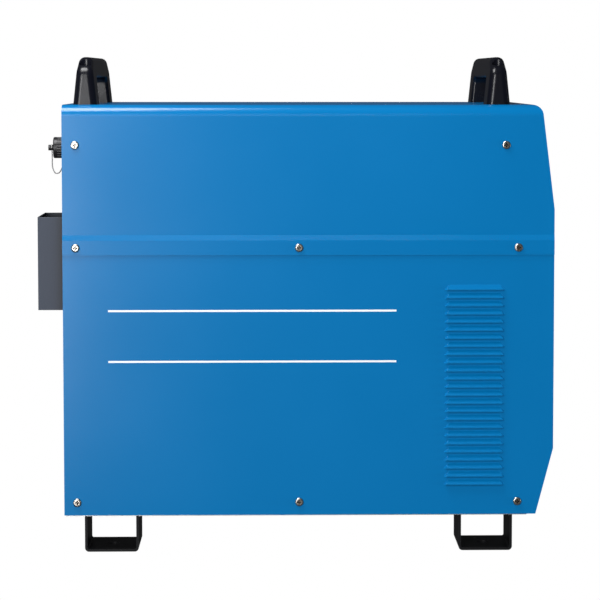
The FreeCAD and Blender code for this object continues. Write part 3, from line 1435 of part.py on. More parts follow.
def gas_parts():
    """Solenoid valve on the tray, and the hose from it to the back of the torch connector."""
    body = piece("gas_valve")
    start = REAR + S.valve_from_rear
    side = INNER - S.tray_sheet - S.valve_width - S.valve_in
    low = DECK + S.seat
    base = rectangle(start, side, start + S.valve_length, side + S.valve_width)
    add(body, draw(body, "base", "XY_Plane", low, [base]), S.valve_tall)
    coil = [(start + S.valve_length / 2, side + S.valve_width / 2, S.valve_coil)]
    add(body, draw(body, "coil", "XY_Plane", low, circles=coil), S.valve_tall + S.valve_coil_tall)
    port = (start + S.valve_length + S.seat * 2, side + S.valve_width / 2, low + S.valve_tall / 2)
    begin = Vector(*(value.number for value in port))
    inlet = (FACE - S.outlet_tail - S.seat * 2, -S.outlet_side, OUTLET)
    finish = Vector(*(value.number for value in inlet))
    run = finish.x - HOSE_TURNS[0][0] - begin.x
    route = [begin] + [begin + Vector(run * share, dy, dz) for share, dy, dz in HOSE_RUN]
    route += [Vector(finish.x - back, begin.y + dy, begin.z + dz) for back, dy, dz in HOSE_TURNS]
    route += [finish + Vector(*step) for step in HOSE_END]
    tube("gas_hose", route, S.hose_diameter.number)


upper_cover()
side_panel("right_side_panel", -1)
side_panel("left_side_panel", 1)
base_tray()
front_panel()
rear_panel()
inner_shelf()
FRONT_FOOT = FRONT - S.front_foot_in - S.foot_length
for label, rear_edge in (("rear", REAR + S.rear_foot_in), ("front", FRONT_FOOT)):
    foot(f"{label}_right_foot", rear_edge, -1)
    foot(f"{label}_left_foot", rear_edge, 1)
handle("rear_handle", REAR_HANDLE)
handle("front_handle", FRONT_HANDLE)
handle_bolts()
casing_screws()
rear_box()
control_socket()
dust_cap()
cap_ring()
cap_lanyard()
fan()
breaker()
cable_gland()
gas_inlet()
earth_stud()
meter()
indicator_lamps()
current_control()
toggle("gas_test", -S.toggle_side)
toggle("trigger_mode", S.toggle_side)
outlets()
heat_sink("right_heat_sink", -1)
heat_sink("left_heat_sink", 1)
power_modules("inverter_modules", -1)
power_modules("rectifier_modules", 1)
drive_board()
wound_parts()
shelf_units()
gas_parts()
doc.recompute()

KINDS = ("PartDesign::Body", "Part::Feature", "Part::Box", "Part::Cylinder", "Part::Torus")
os.makedirs("parts", exist_ok=True)
failed = [o.Label for o in doc.Objects if "Invalid" in o.State or "Error" in o.State]
nodes = [o for o in doc.Objects if o.TypeId in KINDS and not o.Label.endswith("_pattern")]
for node in nodes:
    if node.Shape.isNull() or not node.Shape.isValid() or not node.Shape.Solids:
        failed.append(node.Label)
if failed:
    raise RuntimeError(f"These did not build: {failed}")
for node in nodes:
    node.Shape.exportStep(f"parts/{node.Label}.step")
print(f"{len(nodes)} nodes written")
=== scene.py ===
import math
import bpy
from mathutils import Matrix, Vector


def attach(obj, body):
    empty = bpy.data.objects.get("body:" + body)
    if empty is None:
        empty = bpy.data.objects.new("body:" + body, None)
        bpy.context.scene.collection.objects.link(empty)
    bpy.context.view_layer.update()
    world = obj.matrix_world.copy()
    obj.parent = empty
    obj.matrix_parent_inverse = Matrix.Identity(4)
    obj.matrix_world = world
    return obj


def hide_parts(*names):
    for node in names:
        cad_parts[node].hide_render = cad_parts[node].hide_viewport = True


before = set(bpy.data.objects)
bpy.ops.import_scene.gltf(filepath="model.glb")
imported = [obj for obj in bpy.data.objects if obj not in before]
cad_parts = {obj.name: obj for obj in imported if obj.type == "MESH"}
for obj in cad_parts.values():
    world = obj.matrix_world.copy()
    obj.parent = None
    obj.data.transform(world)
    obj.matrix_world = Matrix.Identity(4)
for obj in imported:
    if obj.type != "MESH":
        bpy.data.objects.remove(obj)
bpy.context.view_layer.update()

# Studio
# A white surround that is nearly dark in reflections, with no ground. A key light stands in front on
# the left, and a softbox beside it veils the casing's rear end. Fills light the other sides.
SURROUND_SEEN, SURROUND_MIRRORED = 1.0, 0.05
bpy.context.scene.view_settings.view_transform = "Standard"
surround = bpy.data.worlds.new("studio")
surround.use_nodes = True
backdrop = surround.node_tree.nodes["Background"]
backdrop.inputs["Color"].default_value = (1, 1, 1, 1)
seen = surround.node_tree.nodes.new("ShaderNodeLightPath")
glow = surround.node_tree.nodes.new("ShaderNodeMapRange")
glow.inputs["To Min"].default_value = SURROUND_MIRRORED
glow.inputs["To Max"].default_value = SURROUND_SEEN
surround.node_tree.links.new(seen.outputs["Is Camera Ray"], glow.inputs["Value"])
surround.node_tree.links.new(glow.outputs["Result"], backdrop.inputs["Strength"])
bpy.context.scene.world = surround


def soft_light(name, place, target, width, height, power, mirrored=True):
    """A rectangular light. One that isn't mirrored lights without a gleam."""
    lamp = bpy.data.lights.new(name, "AREA")
    lamp.shape = "RECTANGLE"
    lamp.size, lamp.size_y, lamp.energy = width, height, power
    holder = bpy.data.objects.new(name, lamp)
    holder.location = place
    holder.rotation_euler = (Vector(target) - Vector(place)).to_track_quat("-Z", "Y").to_euler()
    holder.visible_glossy = mirrored
    bpy.context.scene.collection.objects.link(holder)


soft_light("front_key", (-0.3, -2.7, 1.25), (0, 0, 0.25), 1.2, 1.0, 39, mirrored=False)
soft_light("left_softbox", (-0.97, -2.9, 0.55), (-0.2, -0.16, 0.35), 0.45, 1.6, 43)
soft_light("top_left", (-0.47, -0.5, 1.6), (-0.3, -0.16, 0.55), 0.55, 0.7, 17)
soft_light("right_fill", (3.0, -0.4, 0.1), (0.2, 0, 0.1), 1.4, 0.8, 46, mirrored=False)
soft_light("right_gleam", (3.0, 0, 0.1), (0.2, 0, 0.1), 0.28, 0.8, 4.5)
soft_light("rear_fill", (-2.8, 1.2, 0.1), (-0.2, 0, 0.1), 1.4, 0.8, 46, mirrored=False)
soft_light("rear_gleam", (-2.8, 0, 0.1), (-0.2, 0, 0.1), 0.28, 0.8, 4.5)
soft_light("far_fill", (0.6, 3.0, 0.9), (0, 0, 0.3), 1.4, 1.4, 60, mirrored=False)

# Camera
# A long lens before the machine's right side, a little above the level of its top.
lens = bpy.data.cameras.new("camera")
lens.sensor_width = 36
lens.lens = 138.95
lens.shift_x, lens.shift_y = -0.04, -0.1
camera = bpy.data.objects.new("camera", lens)
camera.location = (-0.027, -2.9749, 0.5838)
camera.rotation_euler = (math.radians(90 - 4.051), 0, math.radians(-1.238))
bpy.context.scene.collection.objects.link(camera)
bpy.context.scene.camera = camera

# Dust cap's lanyard
# Thin grey braided cord that keeps the cap from being lost. It leaves the wire ring on the cap's nub,
# hangs in a loop beside the casing's rear edge and goes back up under the flange of the socket.
LANYARD_WIDTH = 0.0014
LANYARD_ROUTE = [
    (-0.29985, -0.12, 0.4921), (-0.29985, -0.12, 0.492), (-0.29945, -0.12, 0.4851),
    (-0.29965, -0.1205, 0.4776), (-0.29915, -0.121, 0.4701), (-0.29565, -0.1215, 0.4636),
    (-0.29025, -0.121, 0.4651), (-0.28745, -0.12, 0.4716), (-0.28605, -0.119, 0.4771),
    (-0.2864, -0.1185, 0.4816),
]
lanyard_curve = bpy.data.curves.new("lanyard", "CURVE")
lanyard_curve.dimensions = "3D"
lanyard_curve.bevel_depth = LANYARD_WIDTH / 2
lanyard_curve.bevel_resolution = 3
lanyard_curve.resolution_u = 12
lanyard_line = lanyard_curve.splines.new("NURBS")
lanyard_line.points.add(len(LANYARD_ROUTE) - 1)
for point, place in zip(lanyard_line.points, LANYARD_ROUTE):
    point.co = (*place, 1)
lanyard_line.order_u = 3
lanyard_line.use_endpoint_u = True
lanyard = bpy.data.objects.new("lanyard", lanyard_curve)
bpy.context.scene.collection.objects.link(lanyard)


def finish_of(name):
    """A new material, its node tree and its shader."""
    made = bpy.data.materials.new(name)
    made.use_nodes = True
    return made, made.node_tree, made.node_tree.nodes["Principled BSDF"]


def place_on(tree):
    """Where a point of the machine is, in metres in the machine's own frame."""
    return tree.nodes.new("ShaderNodeTexCoord").outputs["Object"]


def raise_surface(tree, height, depth):
    bump = tree.nodes.new("ShaderNodeBump")
    bump.inputs["Distance"].default_value = depth
    tree.links.new(height, bump.inputs["Height"])
    tree.links.new(bump.outputs["Normal"], tree.nodes["Principled BSDF"].inputs["Normal"])


braid, tree, shader = finish_of("grey_braid")
weave = tree.nodes.new("ShaderNodeTexWave")
weave.bands_direction = "DIAGONAL"
weave.inputs["Scale"].default_value = 900
weave.inputs["Distortion"].default_value = 1.5
strands = tree.nodes.new("ShaderNodeValToRGB")
strands.color_ramp.elements[0].color = (0.10, 0.10, 0.105, 1)
strands.color_ramp.elements[1].color = (0.42, 0.42, 0.43, 1)
tree.links.new(place_on(tree), weave.inputs["Vector"])
tree.links.new(weave.outputs["Fac"], strands.inputs["Fac"])
tree.links.new(strands.outputs["Color"], shader.inputs["Base Color"])
raise_surface(tree, weave.outputs["Fac"], 0.0002)
shader.inputs["Roughness"].default_value = 0.8
lanyard_curve.materials.append(braid)
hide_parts("cap_lanyard")
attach(lanyard, "machine")

# Base tray and inner shelf
# The folded floor of the machine and the shelf above it, bent from zinc-plated steel sheet. The
# plating shows a faint spangle and the direction in which the sheet was rolled.


def new_group(name, inputs, outputs):
    """An empty shader group with named numbers going in and the given outputs."""
    group = bpy.data.node_groups.new(name, "ShaderNodeTree")
    for label, value in inputs.items():
        socket = group.interface.new_socket(name=label, in_out="INPUT", socket_type="NodeSocketFloat")
        socket.default_value = value
    for label in outputs:
        group.interface.new_socket(name=label, in_out="OUTPUT", socket_type="NodeSocketFloat")
    return group, group.nodes.new("NodeGroupInput").outputs, group.nodes.new("NodeGroupOutput").inputs


def noise_in(group, coordinates, scale, detail):
    noise = group.nodes.new("ShaderNodeTexNoise")
    noise.inputs["Detail"].default_value = detail
    group.links.new(coordinates, noise.inputs["Vector"])
    group.links.new(scale, noise.inputs["Scale"])
    return noise.outputs["Fac"]


def place_group(tree, group, **values):
    node = tree.nodes.new("ShaderNodeGroup")
    node.node_tree = group
    for label, value in values.items():
        node.inputs[label].default_value = value
    return node.outputs


def blend_colours(tree, mask, low, high):
    """A colour between `low` and `high` by a mask. Each is a colour or a socket."""
    mix = tree.nodes.new("ShaderNodeMix")
    mix.data_type = "RGBA"
    tree.links.new(mask, mix.inputs["Factor"])
    for socket, value in ((mix.inputs["A"], low), (mix.inputs["B"], high)):
        if isinstance(value, tuple):
            socket.default_value = (*value, 1)
        else:
            tree.links.new(value, socket)
    return mix.outputs["Result"]


def spread(tree, value, low, high):
    """The value, taken from 0..1 to low..high."""
    node = tree.nodes.new("ShaderNodeMapRange")
    node.inputs["To Min"].default_value = low
    node.inputs["To Max"].default_value = high
    tree.links.new(value, node.inputs["Value"])
    return node.outputs["Result"]


# Spangle: the brightness of each crystal of the plating, and streaks along the rolling direction
ROLLING_STRETCH = (1, 40, 40)
spangled, given, result = new_group("spangle", {"Size": 90.0, "Grain": 30.0}, ("Tone", "Grain"))
where = place_on(spangled)
crystals = spangled.nodes.new("ShaderNodeTexVoronoi")
spangled.links.new(where, crystals.inputs["Vector"])
spangled.links.new(given["Size"], crystals.inputs["Scale"])
brightness = spangled.nodes.new("ShaderNodeRGBToBW")
spangled.links.new(crystals.outputs["Color"], brightness.inputs["Color"])
drawn_out = spangled.nodes.new("ShaderNodeMapping")
drawn_out.inputs["Scale"].default_value = ROLLING_STRETCH
spangled.links.new(where, drawn_out.inputs["Vector"])
spangled.links.new(brightness.outputs["Val"], result["Tone"])
spangled.links.new(noise_in(spangled, drawn_out.outputs["Vector"], given["Grain"], 3), result["Grain"])


def plated_steel(name, dark, pale, roughness, size=90.0, grain=30.0, depth=0.00003):
    """Bare metal with a plated or rolled surface: two tones, and its crystals' and streaks' scales."""
    made, tree, shader = finish_of(name)
    skin = place_group(tree, spangled, Size=size, Grain=grain)
    tree.links.new(blend_colours(tree, skin["Tone"], dark, pale), shader.inputs["Base Color"])
    tree.links.new(spread(tree, skin["Grain"], *roughness), shader.inputs["Roughness"])
    shader.inputs["Metallic"].default_value = 1.0
    raise_surface(tree, skin["Grain"], depth)
    return made


def dress(material, *names):
    """Gives CAD nodes their material, in every slot that they have."""
    for name in names:
        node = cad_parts[name]
        if not node.material_slots:
            node.data.materials.append(material)
        for slot in node.material_slots:
            slot.material = material


zinc_sheet = plated_steel("zinc_plated_sheet", (0.48, 0.49, 0.5), (0.62, 0.63, 0.65), (0.3, 0.5))
dress(zinc_sheet, "base_tray", "inner_shelf")

# Feet
# Four straps of flat steel bar, bent to a U and fixed under the tray, with a hole in each sole.
# Their satin black powder coat is a little paler along the edges.


def number_node(tree, kind, first, second=None, third=None):
    """A Math node. Each operand is a number or a socket."""
    node = tree.nodes.new("ShaderNodeMath")
    node.operation = kind
    for socket, value in zip(node.inputs, (first, second, third)):
        if isinstance(value, (int, float)):
            socket.default_value = value
        elif value is not None:
            tree.links.new(value, socket)
    return node.outputs["Value"]


# Powder coat: the height of its orange peel, a slow drift of tone, and a roughness that follows both
GRIT_SHARE, PEEL_IN_GLOSS = 0.35, 0.06
powder, given, result = new_group(
    "powder_coat", {"Peel": 420.0, "Grit": 1500.0, "Drift": 5.0}, ("Height", "Tone", "Gloss"))
where = place_on(powder)
peel = noise_in(powder, where, given["Peel"], 2)
height = number_node(powder, "MULTIPLY_ADD", noise_in(powder, where, given["Grit"], 1), GRIT_SHARE, peel)
drift = noise_in(powder, where, given["Drift"], 3)
powder.links.new(height, result["Height"])
powder.links.new(drift, result["Tone"])
powder.links.new(number_node(powder, "MULTIPLY_ADD", height, PEEL_IN_GLOSS, drift), result["Gloss"])

# Rubbed edge: a mask where the surface turns sharply, broken up by noise
rubbed, given, result = new_group("rubbed_edge", {"Width": 0.0008, "Break": 60.0, "Gain": 9.0}, ("Mask",))
rounded = rubbed.nodes.new("ShaderNodeBevel")
rounded.samples = 4
rubbed.links.new(given["Width"], rounded.inputs["Radius"])
facing = rubbed.nodes.new("ShaderNodeVectorMath")
facing.operation = "DOT_PRODUCT"
rubbed.links.new(rounded.outputs["Normal"], facing.inputs[0])
rubbed.links.new(rubbed.nodes.new("ShaderNodeNewGeometry").outputs["Normal"], facing.inputs[1])
turned_away = number_node(rubbed, "SUBTRACT", 1.0, facing.outputs["Value"])
patchy = number_node(rubbed, "MULTIPLY", noise_in(rubbed, place_on(rubbed), given["Break"], 4), given["Gain"])
strength = number_node(rubbed, "MULTIPLY", turned_away, patchy)
rubbed.links.new(number_node(rubbed, "MINIMUM", strength, 1.0), result["Mask"])


def coated_steel(name, dark, pale, edge, gloss, peel_depth, sheen):
    """Powder-coated sheet: two tones of the coat, the colour of its edges and its roughness."""
    made, tree, shader = finish_of(name)
    shader.inputs["Specular IOR Level"].default_value = sheen
    coat = place_group(tree, powder)
    wear = place_group(tree, rubbed)
    tone = blend_colours(tree, coat["Tone"], dark, pale)
    tree.links.new(blend_colours(tree, wear["Mask"], tone, edge), shader.inputs["Base Color"])
    tree.links.new(spread(tree, coat["Gloss"], *gloss), shader.inputs["Roughness"])
    raise_surface(tree, coat["Height"], peel_depth)
    return made


black_coat = coated_steel(
    "black_powder_coat", (0.004, 0.0042, 0.005), (0.007, 0.0072, 0.0085), (0.02, 0.02, 0.022),
    (0.38, 0.48), 0.00008, 0.2)
dress(black_coat, "rear_right_foot", "rear_left_foot", "front_right_foot", "front_left_foot")

# Heat sinks, capacitors and power modules
# Sinks of extruded aluminium and can capacitors in their bare aluminium cans. The inverter's and the
# rectifier's modules are moulded blocks screwed to the sinks.
extruded = plated_steel(
    "extruded_aluminium", (0.66, 0.67, 0.69), (0.78, 0.79, 0.81), (0.3, 0.46), 150.0, 60.0)
dress(extruded, "right_heat_sink", "left_heat_sink", "bus_capacitors")

# Moulded grain: the pits of a spark-eroded mould and the slow flow marks of the plastic
moulded, given, result = new_group("moulded_grain", {"Size": 900.0, "Flow": 14.0}, ("Height", "Tone"))
where = place_on(moulded)
moulded.links.new(noise_in(moulded, where, given["Size"], 3), result["Height"])
moulded.links.new(noise_in(moulded, where, given["Flow"], 4), result["Tone"])


def moulding(name, dark, pale, roughness, grain=900.0, depth=0.00012, metallic=0.0, sheen=0.35):
    """Moulded plastic: two near tones, a range of roughness and the size and depth of its grain."""
    made, tree, shader = finish_of(name)
    shader.inputs["Specular IOR Level"].default_value = sheen
    skin = place_group(tree, moulded, Size=grain)
    tree.links.new(blend_colours(tree, skin["Tone"], dark, pale), shader.inputs["Base Color"])
    tree.links.new(spread(tree, skin["Tone"], *roughness), shader.inputs["Roughness"])
    shader.inputs["Metallic"].default_value = metallic
    raise_surface(tree, skin["Height"], depth)
    return made


breaker_grey = moulding("breaker_moulding", (0.06, 0.06, 0.065), (0.085, 0.085, 0.09), (0.38, 0.5), 700.0)
dress(breaker_grey, "inverter_modules", "rectifier_modules")

# Transformer, choke and control transformer
# Windings of varnished copper wire on cores of stacked iron laminations, screwed down on the tray
# and the shelf. Bands show the edges of the laminations and the turns of the wire.


def recolour(made, mask, low=None, high=None):
    """Blends a finish's colour by a mask, from `low` to `high`. None is the colour that it has."""
    tree = made.node_tree
    base = tree.nodes["Principled BSDF"].inputs["Base Color"]
    present = base.links[0].from_socket
    tree.links.new(blend_colours(tree, mask, low or present, high or present), base)


def banded(made, direction, scale, dark, depth):
    """Adds parallel bands to a finish: darker joints and a ridge each."""
    tree = made.node_tree
    bands = tree.nodes.new("ShaderNodeTexWave")
    bands.bands_direction = direction
    bands.inputs["Scale"].default_value = scale
    bands.inputs["Distortion"].default_value = 0.4
    tree.links.new(place_on(tree), bands.inputs["Vector"])
    recolour(made, bands.outputs["Fac"], low=dark)
    raise_surface(tree, bands.outputs["Fac"], depth)


laminated = plated_steel("laminated_core", (0.2, 0.2, 0.21), (0.3, 0.3, 0.31), (0.38, 0.5), 200.0, 60.0)
banded(laminated, "Y", 300, (0.05, 0.045, 0.04), 0.0002)
dress(laminated, "transformer_core", "choke_core", "control_transformer_core")
varnish = moulding("varnished_winding", (0.3, 0.12, 0.03), (0.46, 0.2, 0.06), (0.22, 0.36), 250.0, 0.0002)
banded(varnish, "Z", 160, (0.12, 0.045, 0.015), 0.0004)
dress(varnish, "transformer_winding", "choke_winding", "control_transformer_winding")

# Drive board and control board
# Glass-fibre boards under green solder mask. The control board stands on four zinc-plated steel
# standoffs that are screwed to the shelf.
solder_mask = moulding("solder_mask", (0.008, 0.09, 0.03), (0.015, 0.16, 0.05), (0.25, 0.4), 500.0, 0.00008)
dress(solder_mask, "drive_board", "control_board")
bright_steel = plated_steel(
    "bright_zinc_plate", (0.5, 0.5, 0.49), (0.7, 0.7, 0.68), (0.22, 0.36), 400.0, 120.0)
dress(bright_steel, "board_standoffs")

# Gas valve, gas hose and ignition unit
# The valve's coil and the ignition unit are potted in grey mouldings. The hose is dark blue rubber,
# pushed on the tails of the inlet and the valve.
dress(breaker_grey, "gas_valve", "ignition_unit")
hose_rubber = moulding("hose_rubber", (0.012, 0.02, 0.05), (0.02, 0.03, 0.07), (0.4, 0.55), 500.0, 0.0001)
dress(hose_rubber, "gas_hose")

# Front panel and rear panel
# Folded pans of steel sheet in charcoal powder coat, set between the two sides. The current knob's
# dial is printed on the front one, and is made with the knob.
charcoal_coat = coated_steel(
    "charcoal_powder_coat", (0.018, 0.019, 0.022), (0.026, 0.027, 0.031), (0.07, 0.07, 0.075),
    (0.42, 0.5), 0.0001, 0.35)
dress(charcoal_coat, "front_panel", "rear_panel")

# Fan and its guard
# A die-cast frame painted black behind the rear panel's round hole, a moulded rotor that spins in it,
# and a guard of bright zinc-plated wire outside the panel.
cast_black = moulding(
    "painted_casting", (0.014, 0.014, 0.015), (0.024, 0.024, 0.026), (0.5, 0.62), 500.0, 0.0003)
dress(cast_black, "fan_frame")
rotor_plastic = moulding("rotor_plastic", (0.012, 0.012, 0.013), (0.02, 0.02, 0.021), (0.36, 0.46), 800.0)
dress(rotor_plastic, "fan_rotor")
dress(bright_steel, "fan_guard")

# Circuit breaker
# A grey moulded case that stands through the rear panel from inside. One glossy black lever throws
# its three poles together.
dress(breaker_grey, "breaker_body")
lever_black = moulding(
    "lever_moulding", (0.01, 0.01, 0.011), (0.016, 0.016, 0.017), (0.22, 0.32), 1200.0, 0.00004)
dress(lever_black, "breaker_lever")

# Cable gland, gas inlet and earth stud
# A black nylon gland for the supply cable, a nickel-plated hose tail and a zinc-plated stud with its
# nuts, each screwed through the rear panel.
nylon = moulding(
    "handle_nylon", (0.002, 0.0023, 0.0045), (0.004, 0.0046, 0.009), (0.24, 0.34), depth=0.00003, sheen=0.4)
dress(nylon, "cable_gland")
nickel = plated_steel("nickel_plate", (0.6, 0.6, 0.58), (0.72, 0.71, 0.68), (0.14, 0.28), 300.0, 80.0)
dress(nickel, "gas_inlet")
dress(bright_steel, "earth_stud")

# Control socket and dust cap
# A nickel-plated round socket on the rear panel. Its cap is turned on by a quarter turn, has a knurled
# grip of blackened metal, and carries the lanyard's wire ring on a nub.
dress(nickel, "control_socket")
dark_metal = moulding(
    "blackened_cap", (0.02, 0.02, 0.022), (0.05, 0.05, 0.052), (0.3, 0.42), 700.0, 0.0001, 0.6)
dress(dark_metal, "dust_cap")
dress(bright_steel, "cap_ring")

# Meter
# A glossy moulded bezel that clips into the front panel, round a window of smoked red acrylic. The
# display's three unlit digits show faintly in the window.
METER_LEVEL = 0.507
DIGITS = 3
DIGIT_PITCH, DIGIT_HALF_WIDTH, DIGIT_HALF_HEIGHT = 0.018, 0.0045, 0.0085
SEGMENT = 0.0009
SEGMENT_END = SEGMENT * 1.3


def axes_of(tree):
    """X, Y and Z of a point of the machine, in metres in the machine's own frame."""
    axes = tree.nodes.new("ShaderNodeSeparateXYZ")
    tree.links.new(place_on(tree), axes.inputs["Vector"])
    return axes.outputs["X"], axes.outputs["Y"], axes.outputs["Z"]


def within(tree, value, middle, half):
    """1 where the value is within `half` of `middle`."""
    return number_node(tree, "COMPARE", value, middle, half)


dress(lever_black, "meter_case")
smoked = moulding("smoked_window", (0.05, 0.004, 0.004), (0.07, 0.006, 0.006), (0.08, 0.12), 200.0, 0.00001)
tree = smoked.node_tree
_, y, z = axes_of(tree)
up = number_node(tree, "SUBTRACT", z, METER_LEVEL)
height = number_node(tree, "ABSOLUTE", up)
beside = number_node(tree, "ABSOLUTE", number_node(tree, "WRAP", y, DIGIT_PITCH / 2, -DIGIT_PITCH / 2))
upright = number_node(
    tree, "MULTIPLY", within(tree, beside, DIGIT_HALF_WIDTH, SEGMENT),
    within(tree, height, DIGIT_HALF_HEIGHT / 2, DIGIT_HALF_HEIGHT / 2 - SEGMENT_END))
bar = number_node(
    tree, "MAXIMUM", within(tree, height, DIGIT_HALF_HEIGHT, SEGMENT), within(tree, up, 0.0, SEGMENT))
level = number_node(
    tree, "MULTIPLY", bar, number_node(tree, "LESS_THAN", beside, DIGIT_HALF_WIDTH - SEGMENT_END))
on_a_digit = number_node(tree, "LESS_THAN", number_node(tree, "ABSOLUTE", y), DIGIT_PITCH * DIGITS / 2)
segments = number_node(tree, "MULTIPLY", number_node(tree, "MAXIMUM", upright, level), on_a_digit)
recolour(smoked, segments, high=(0.22, 0.03, 0.025))
dress(smoked, "meter_window")

# Indicator lamps
# Three translucent moulded lenses beside the meter, pushed into the front panel: green for mains,
# amber for heat and red for fault.
LAMP_REACH = 0.009
AMBER_PLACE, AMBER = 0.084, (0.62, 0.2, 0.008)
RED_PLACE, RED = 0.104, (0.5, 0.01, 0.008)
lamp_lens = moulding("lamp_lens", (0.02, 0.3, 0.05), (0.03, 0.4, 0.07), (0.12, 0.2), 300.0, 0.00002)
_, y, _ = axes_of(lamp_lens.node_tree)
for middle, lens_colour in ((AMBER_PLACE, AMBER), (RED_PLACE, RED)):
    recolour(lamp_lens, within(lamp_lens.node_tree, y, middle, LAMP_REACH), high=lens_colour)
dress(lamp_lens, "indicator_lamps")

# Current control
# A black moulded knob with a white pointer, on the plain steel shaft of the potentiometer behind the
# panel. Its dial, eleven ticks inside a thin arc, is printed on the front panel.
KNOB_ACROSS, KNOB_LEVEL = 0.0, 0.453
POINTER_HALF_WIDTH, POINTER_START = 0.0009, 0.007
PRINT_WHITE = (0.8, 0.81, 0.82)
TICK_STEP = math.radians(30)
TICK_HALF_WIDTH, TICK_MIDDLE, TICK_REACH = 0.0005, 0.0245, 0.0025
ARC_RADIUS, ARC_HALF_WIDTH = 0.0275, 0.0003
HALF_SWEEP = math.radians(151)
FRONT_OF_MACHINE = 0.2


def radius_from(tree, across, up):
    """How far a point is from an axis, when it lies `across` and `up` from it."""
    squared = number_node(tree, "MULTIPLY", across, across)
    return number_node(tree, "SQRT", number_node(tree, "MULTIPLY_ADD", up, up, squared))


knob_black = moulding(
    "knob_moulding", (0.01, 0.01, 0.011), (0.018, 0.018, 0.019), (0.26, 0.36), 1000.0, 0.00005)
tree = knob_black.node_tree
_, y, z = axes_of(tree)
pointer = number_node(
    tree, "MULTIPLY", within(tree, y, KNOB_ACROSS, POINTER_HALF_WIDTH),
    number_node(tree, "GREATER_THAN", z, KNOB_LEVEL + POINTER_START))
recolour(knob_black, pointer, high=(0.8, 0.8, 0.78))
dress(knob_black, "current_knob")

tree = charcoal_coat.node_tree
x, y, z = axes_of(tree)
up = number_node(tree, "SUBTRACT", z, KNOB_LEVEL)
across = number_node(tree, "SUBTRACT", y, KNOB_ACROSS)
radius = radius_from(tree, across, up)
bearing = number_node(tree, "ARCTAN2", across, up)
beside_tick = number_node(tree, "MULTIPLY", number_node(tree, "PINGPONG", bearing, TICK_STEP / 2), radius)
tick = number_node(
    tree, "MULTIPLY", number_node(tree, "LESS_THAN", beside_tick, TICK_HALF_WIDTH),
    within(tree, radius, TICK_MIDDLE, TICK_REACH))
marks = number_node(tree, "MAXIMUM", tick, within(tree, radius, ARC_RADIUS, ARC_HALF_WIDTH))
dial = number_node(
    tree, "MULTIPLY", number_node(tree, "MULTIPLY", marks, within(tree, bearing, 0.0, HALF_SWEEP)),
    number_node(tree, "GREATER_THAN", x, FRONT_OF_MACHINE))
recolour(charcoal_coat, dial, high=PRINT_WHITE)
plain_steel = plated_steel("plain_steel", (0.34, 0.34, 0.35), (0.46, 0.46, 0.47), (0.3, 0.45), 200.0, 60.0)
dress(plain_steel, "knob_shaft")
dress(breaker_grey, "potentiometer")

# Toggle switches
# Nickel-plated brass bushings with a nut each, screwed through the front panel beside the knob, and
# their nickel-plated bat levers.
dress(nickel, "gas_test_switch", "gas_test_lever", "trigger_mode_switch", "trigger_mode_lever")

# Output sockets
# The torch connector and the work socket are filled black nylon round turned brass, and the trigger
# socket between them is nickel-plated. All are screwed into the front panel's lower part.
TORCH_ACROSS, TORCH_LEVEL = -0.088, 0.155
LINING_RADIUS = 0.0098
dress(nylon, "work_socket")
brass = plated_steel("turned_brass", (0.62, 0.42, 0.16), (0.76, 0.56, 0.25), (0.2, 0.34), 200.0, 90.0)
dress(brass, "work_socket_insert")
dress(nickel, "trigger_socket")
lined = moulding("lined_connector", (0.008, 0.008, 0.009), (0.014, 0.014, 0.016), (0.3, 0.42))
tree = lined.node_tree
_, y, z = axes_of(tree)
radius = radius_from(
    tree, number_node(tree, "SUBTRACT", y, TORCH_ACROSS), number_node(tree, "SUBTRACT", z, TORCH_LEVEL))
lining = number_node(tree, "LESS_THAN", radius, LINING_RADIUS)
recolour(lined, lining, high=(0.7, 0.49, 0.2))
tree.links.new(lining, tree.nodes["Principled BSDF"].inputs["Metallic"])
dress(lined, "torch_connector")

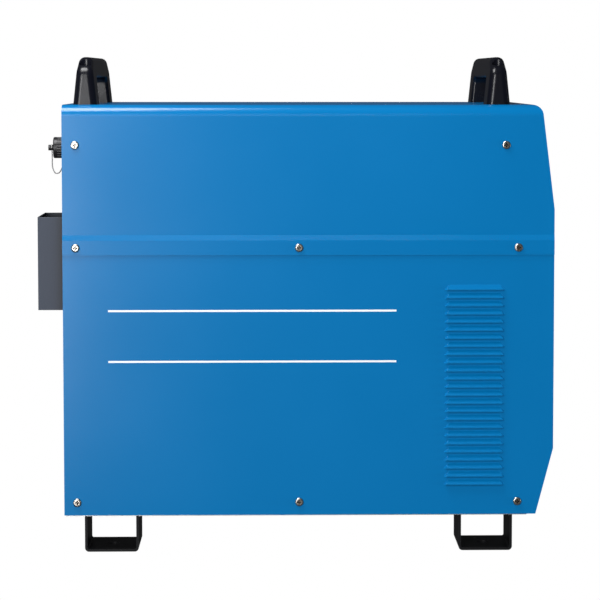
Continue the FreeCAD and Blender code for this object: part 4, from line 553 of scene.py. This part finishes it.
# Side panels
# Flat steel sheets with lanced louvres, screwed to the tray and the end panels, in blue powder coat
# with a fine orange peel. Two white rules are printed on each.
BLUE_COAT = ((0.0004, 0.142, 0.375), (0.0008, 0.16, 0.42), (0.01, 0.22, 0.52), (0.17, 0.23), 0.000012, 0.45)
RULE_LEVELS = (0.2978, 0.2355)
RULE_THICKNESS = 0.0024
RULE_ENDS = (-0.2296, 0.1224)
ruled_coat = coated_steel("ruled_blue_powder_coat", *BLUE_COAT)
tree = ruled_coat.node_tree
x, _, z = axes_of(tree)
on_rule = number_node(tree, "MAXIMUM", *(within(tree, z, level, RULE_THICKNESS / 2) for level in RULE_LEVELS))
along = within(tree, x, sum(RULE_ENDS) / 2, (RULE_ENDS[1] - RULE_ENDS[0]) / 2)
recolour(ruled_coat, number_node(tree, "MULTIPLY", on_rule, along), high=(0.86, 0.88, 0.9))
dress(ruled_coat, "right_side_panel", "left_side_panel")

# Upper cover
# One bent steel sheet over the top and both sides, its lower edges joggled out to lap over the side
# panels, in the same blue powder coat.
blue_coat = coated_steel("blue_powder_coat", *BLUE_COAT)
dress(blue_coat, "upper_cover")

# Casing screws
# Nickel-plated pan-head screws with a cross recess, eight on each side, each stopped at its own
# angle. Their recesses and the rims of their heads are darkened with painted shade.


def paint_shade_into_hollows(made, reach, gain, offset, dark):
    """Paints shade into a finish's colour where walls stand closer than `reach`."""
    tree = made.node_tree
    hollow = tree.nodes.new("ShaderNodeAmbientOcclusion")
    hollow.samples = 8
    hollow.inputs["Distance"].default_value = reach
    recolour(made, number_node(tree, "MULTIPLY_ADD", hollow.outputs["AO"], gain, offset), low=dark)


screw_metal = plated_steel("screw_nickel", (0.6, 0.55, 0.49), (0.74, 0.69, 0.62), (0.2, 0.34), 400.0, 120.0)
paint_shade_into_hollows(screw_metal, 0.0022, 5.0, -3.2, (0.012, 0.005, 0.002))
dress(screw_metal, "casing_screws")

# Handles
# Moulded black nylon grips with a fine spark-eroded grain, fixed across the cover by zinc-plated
# socket-head bolts in the wells of their shoulders.
dress(nylon, "rear_handle", "front_handle")
dress(bright_steel, "handle_bolts")

# Rear box
# An open-topped holder folded from thin steel sheet and fixed to the rear panel, in slate powder coat.
# Its inside is darkened with painted shade.
box_coat = coated_steel(
    "box_powder_coat", (0.019, 0.028, 0.048), (0.029, 0.040, 0.066), (0.16, 0.165, 0.18),
    (0.4, 0.5), 0.00008, 0.4)
paint_shade_into_hollows(box_coat, 0.05, 2.2, -1.0, (0.0015, 0.0018, 0.0025))
dress(box_coat, "rear_box")
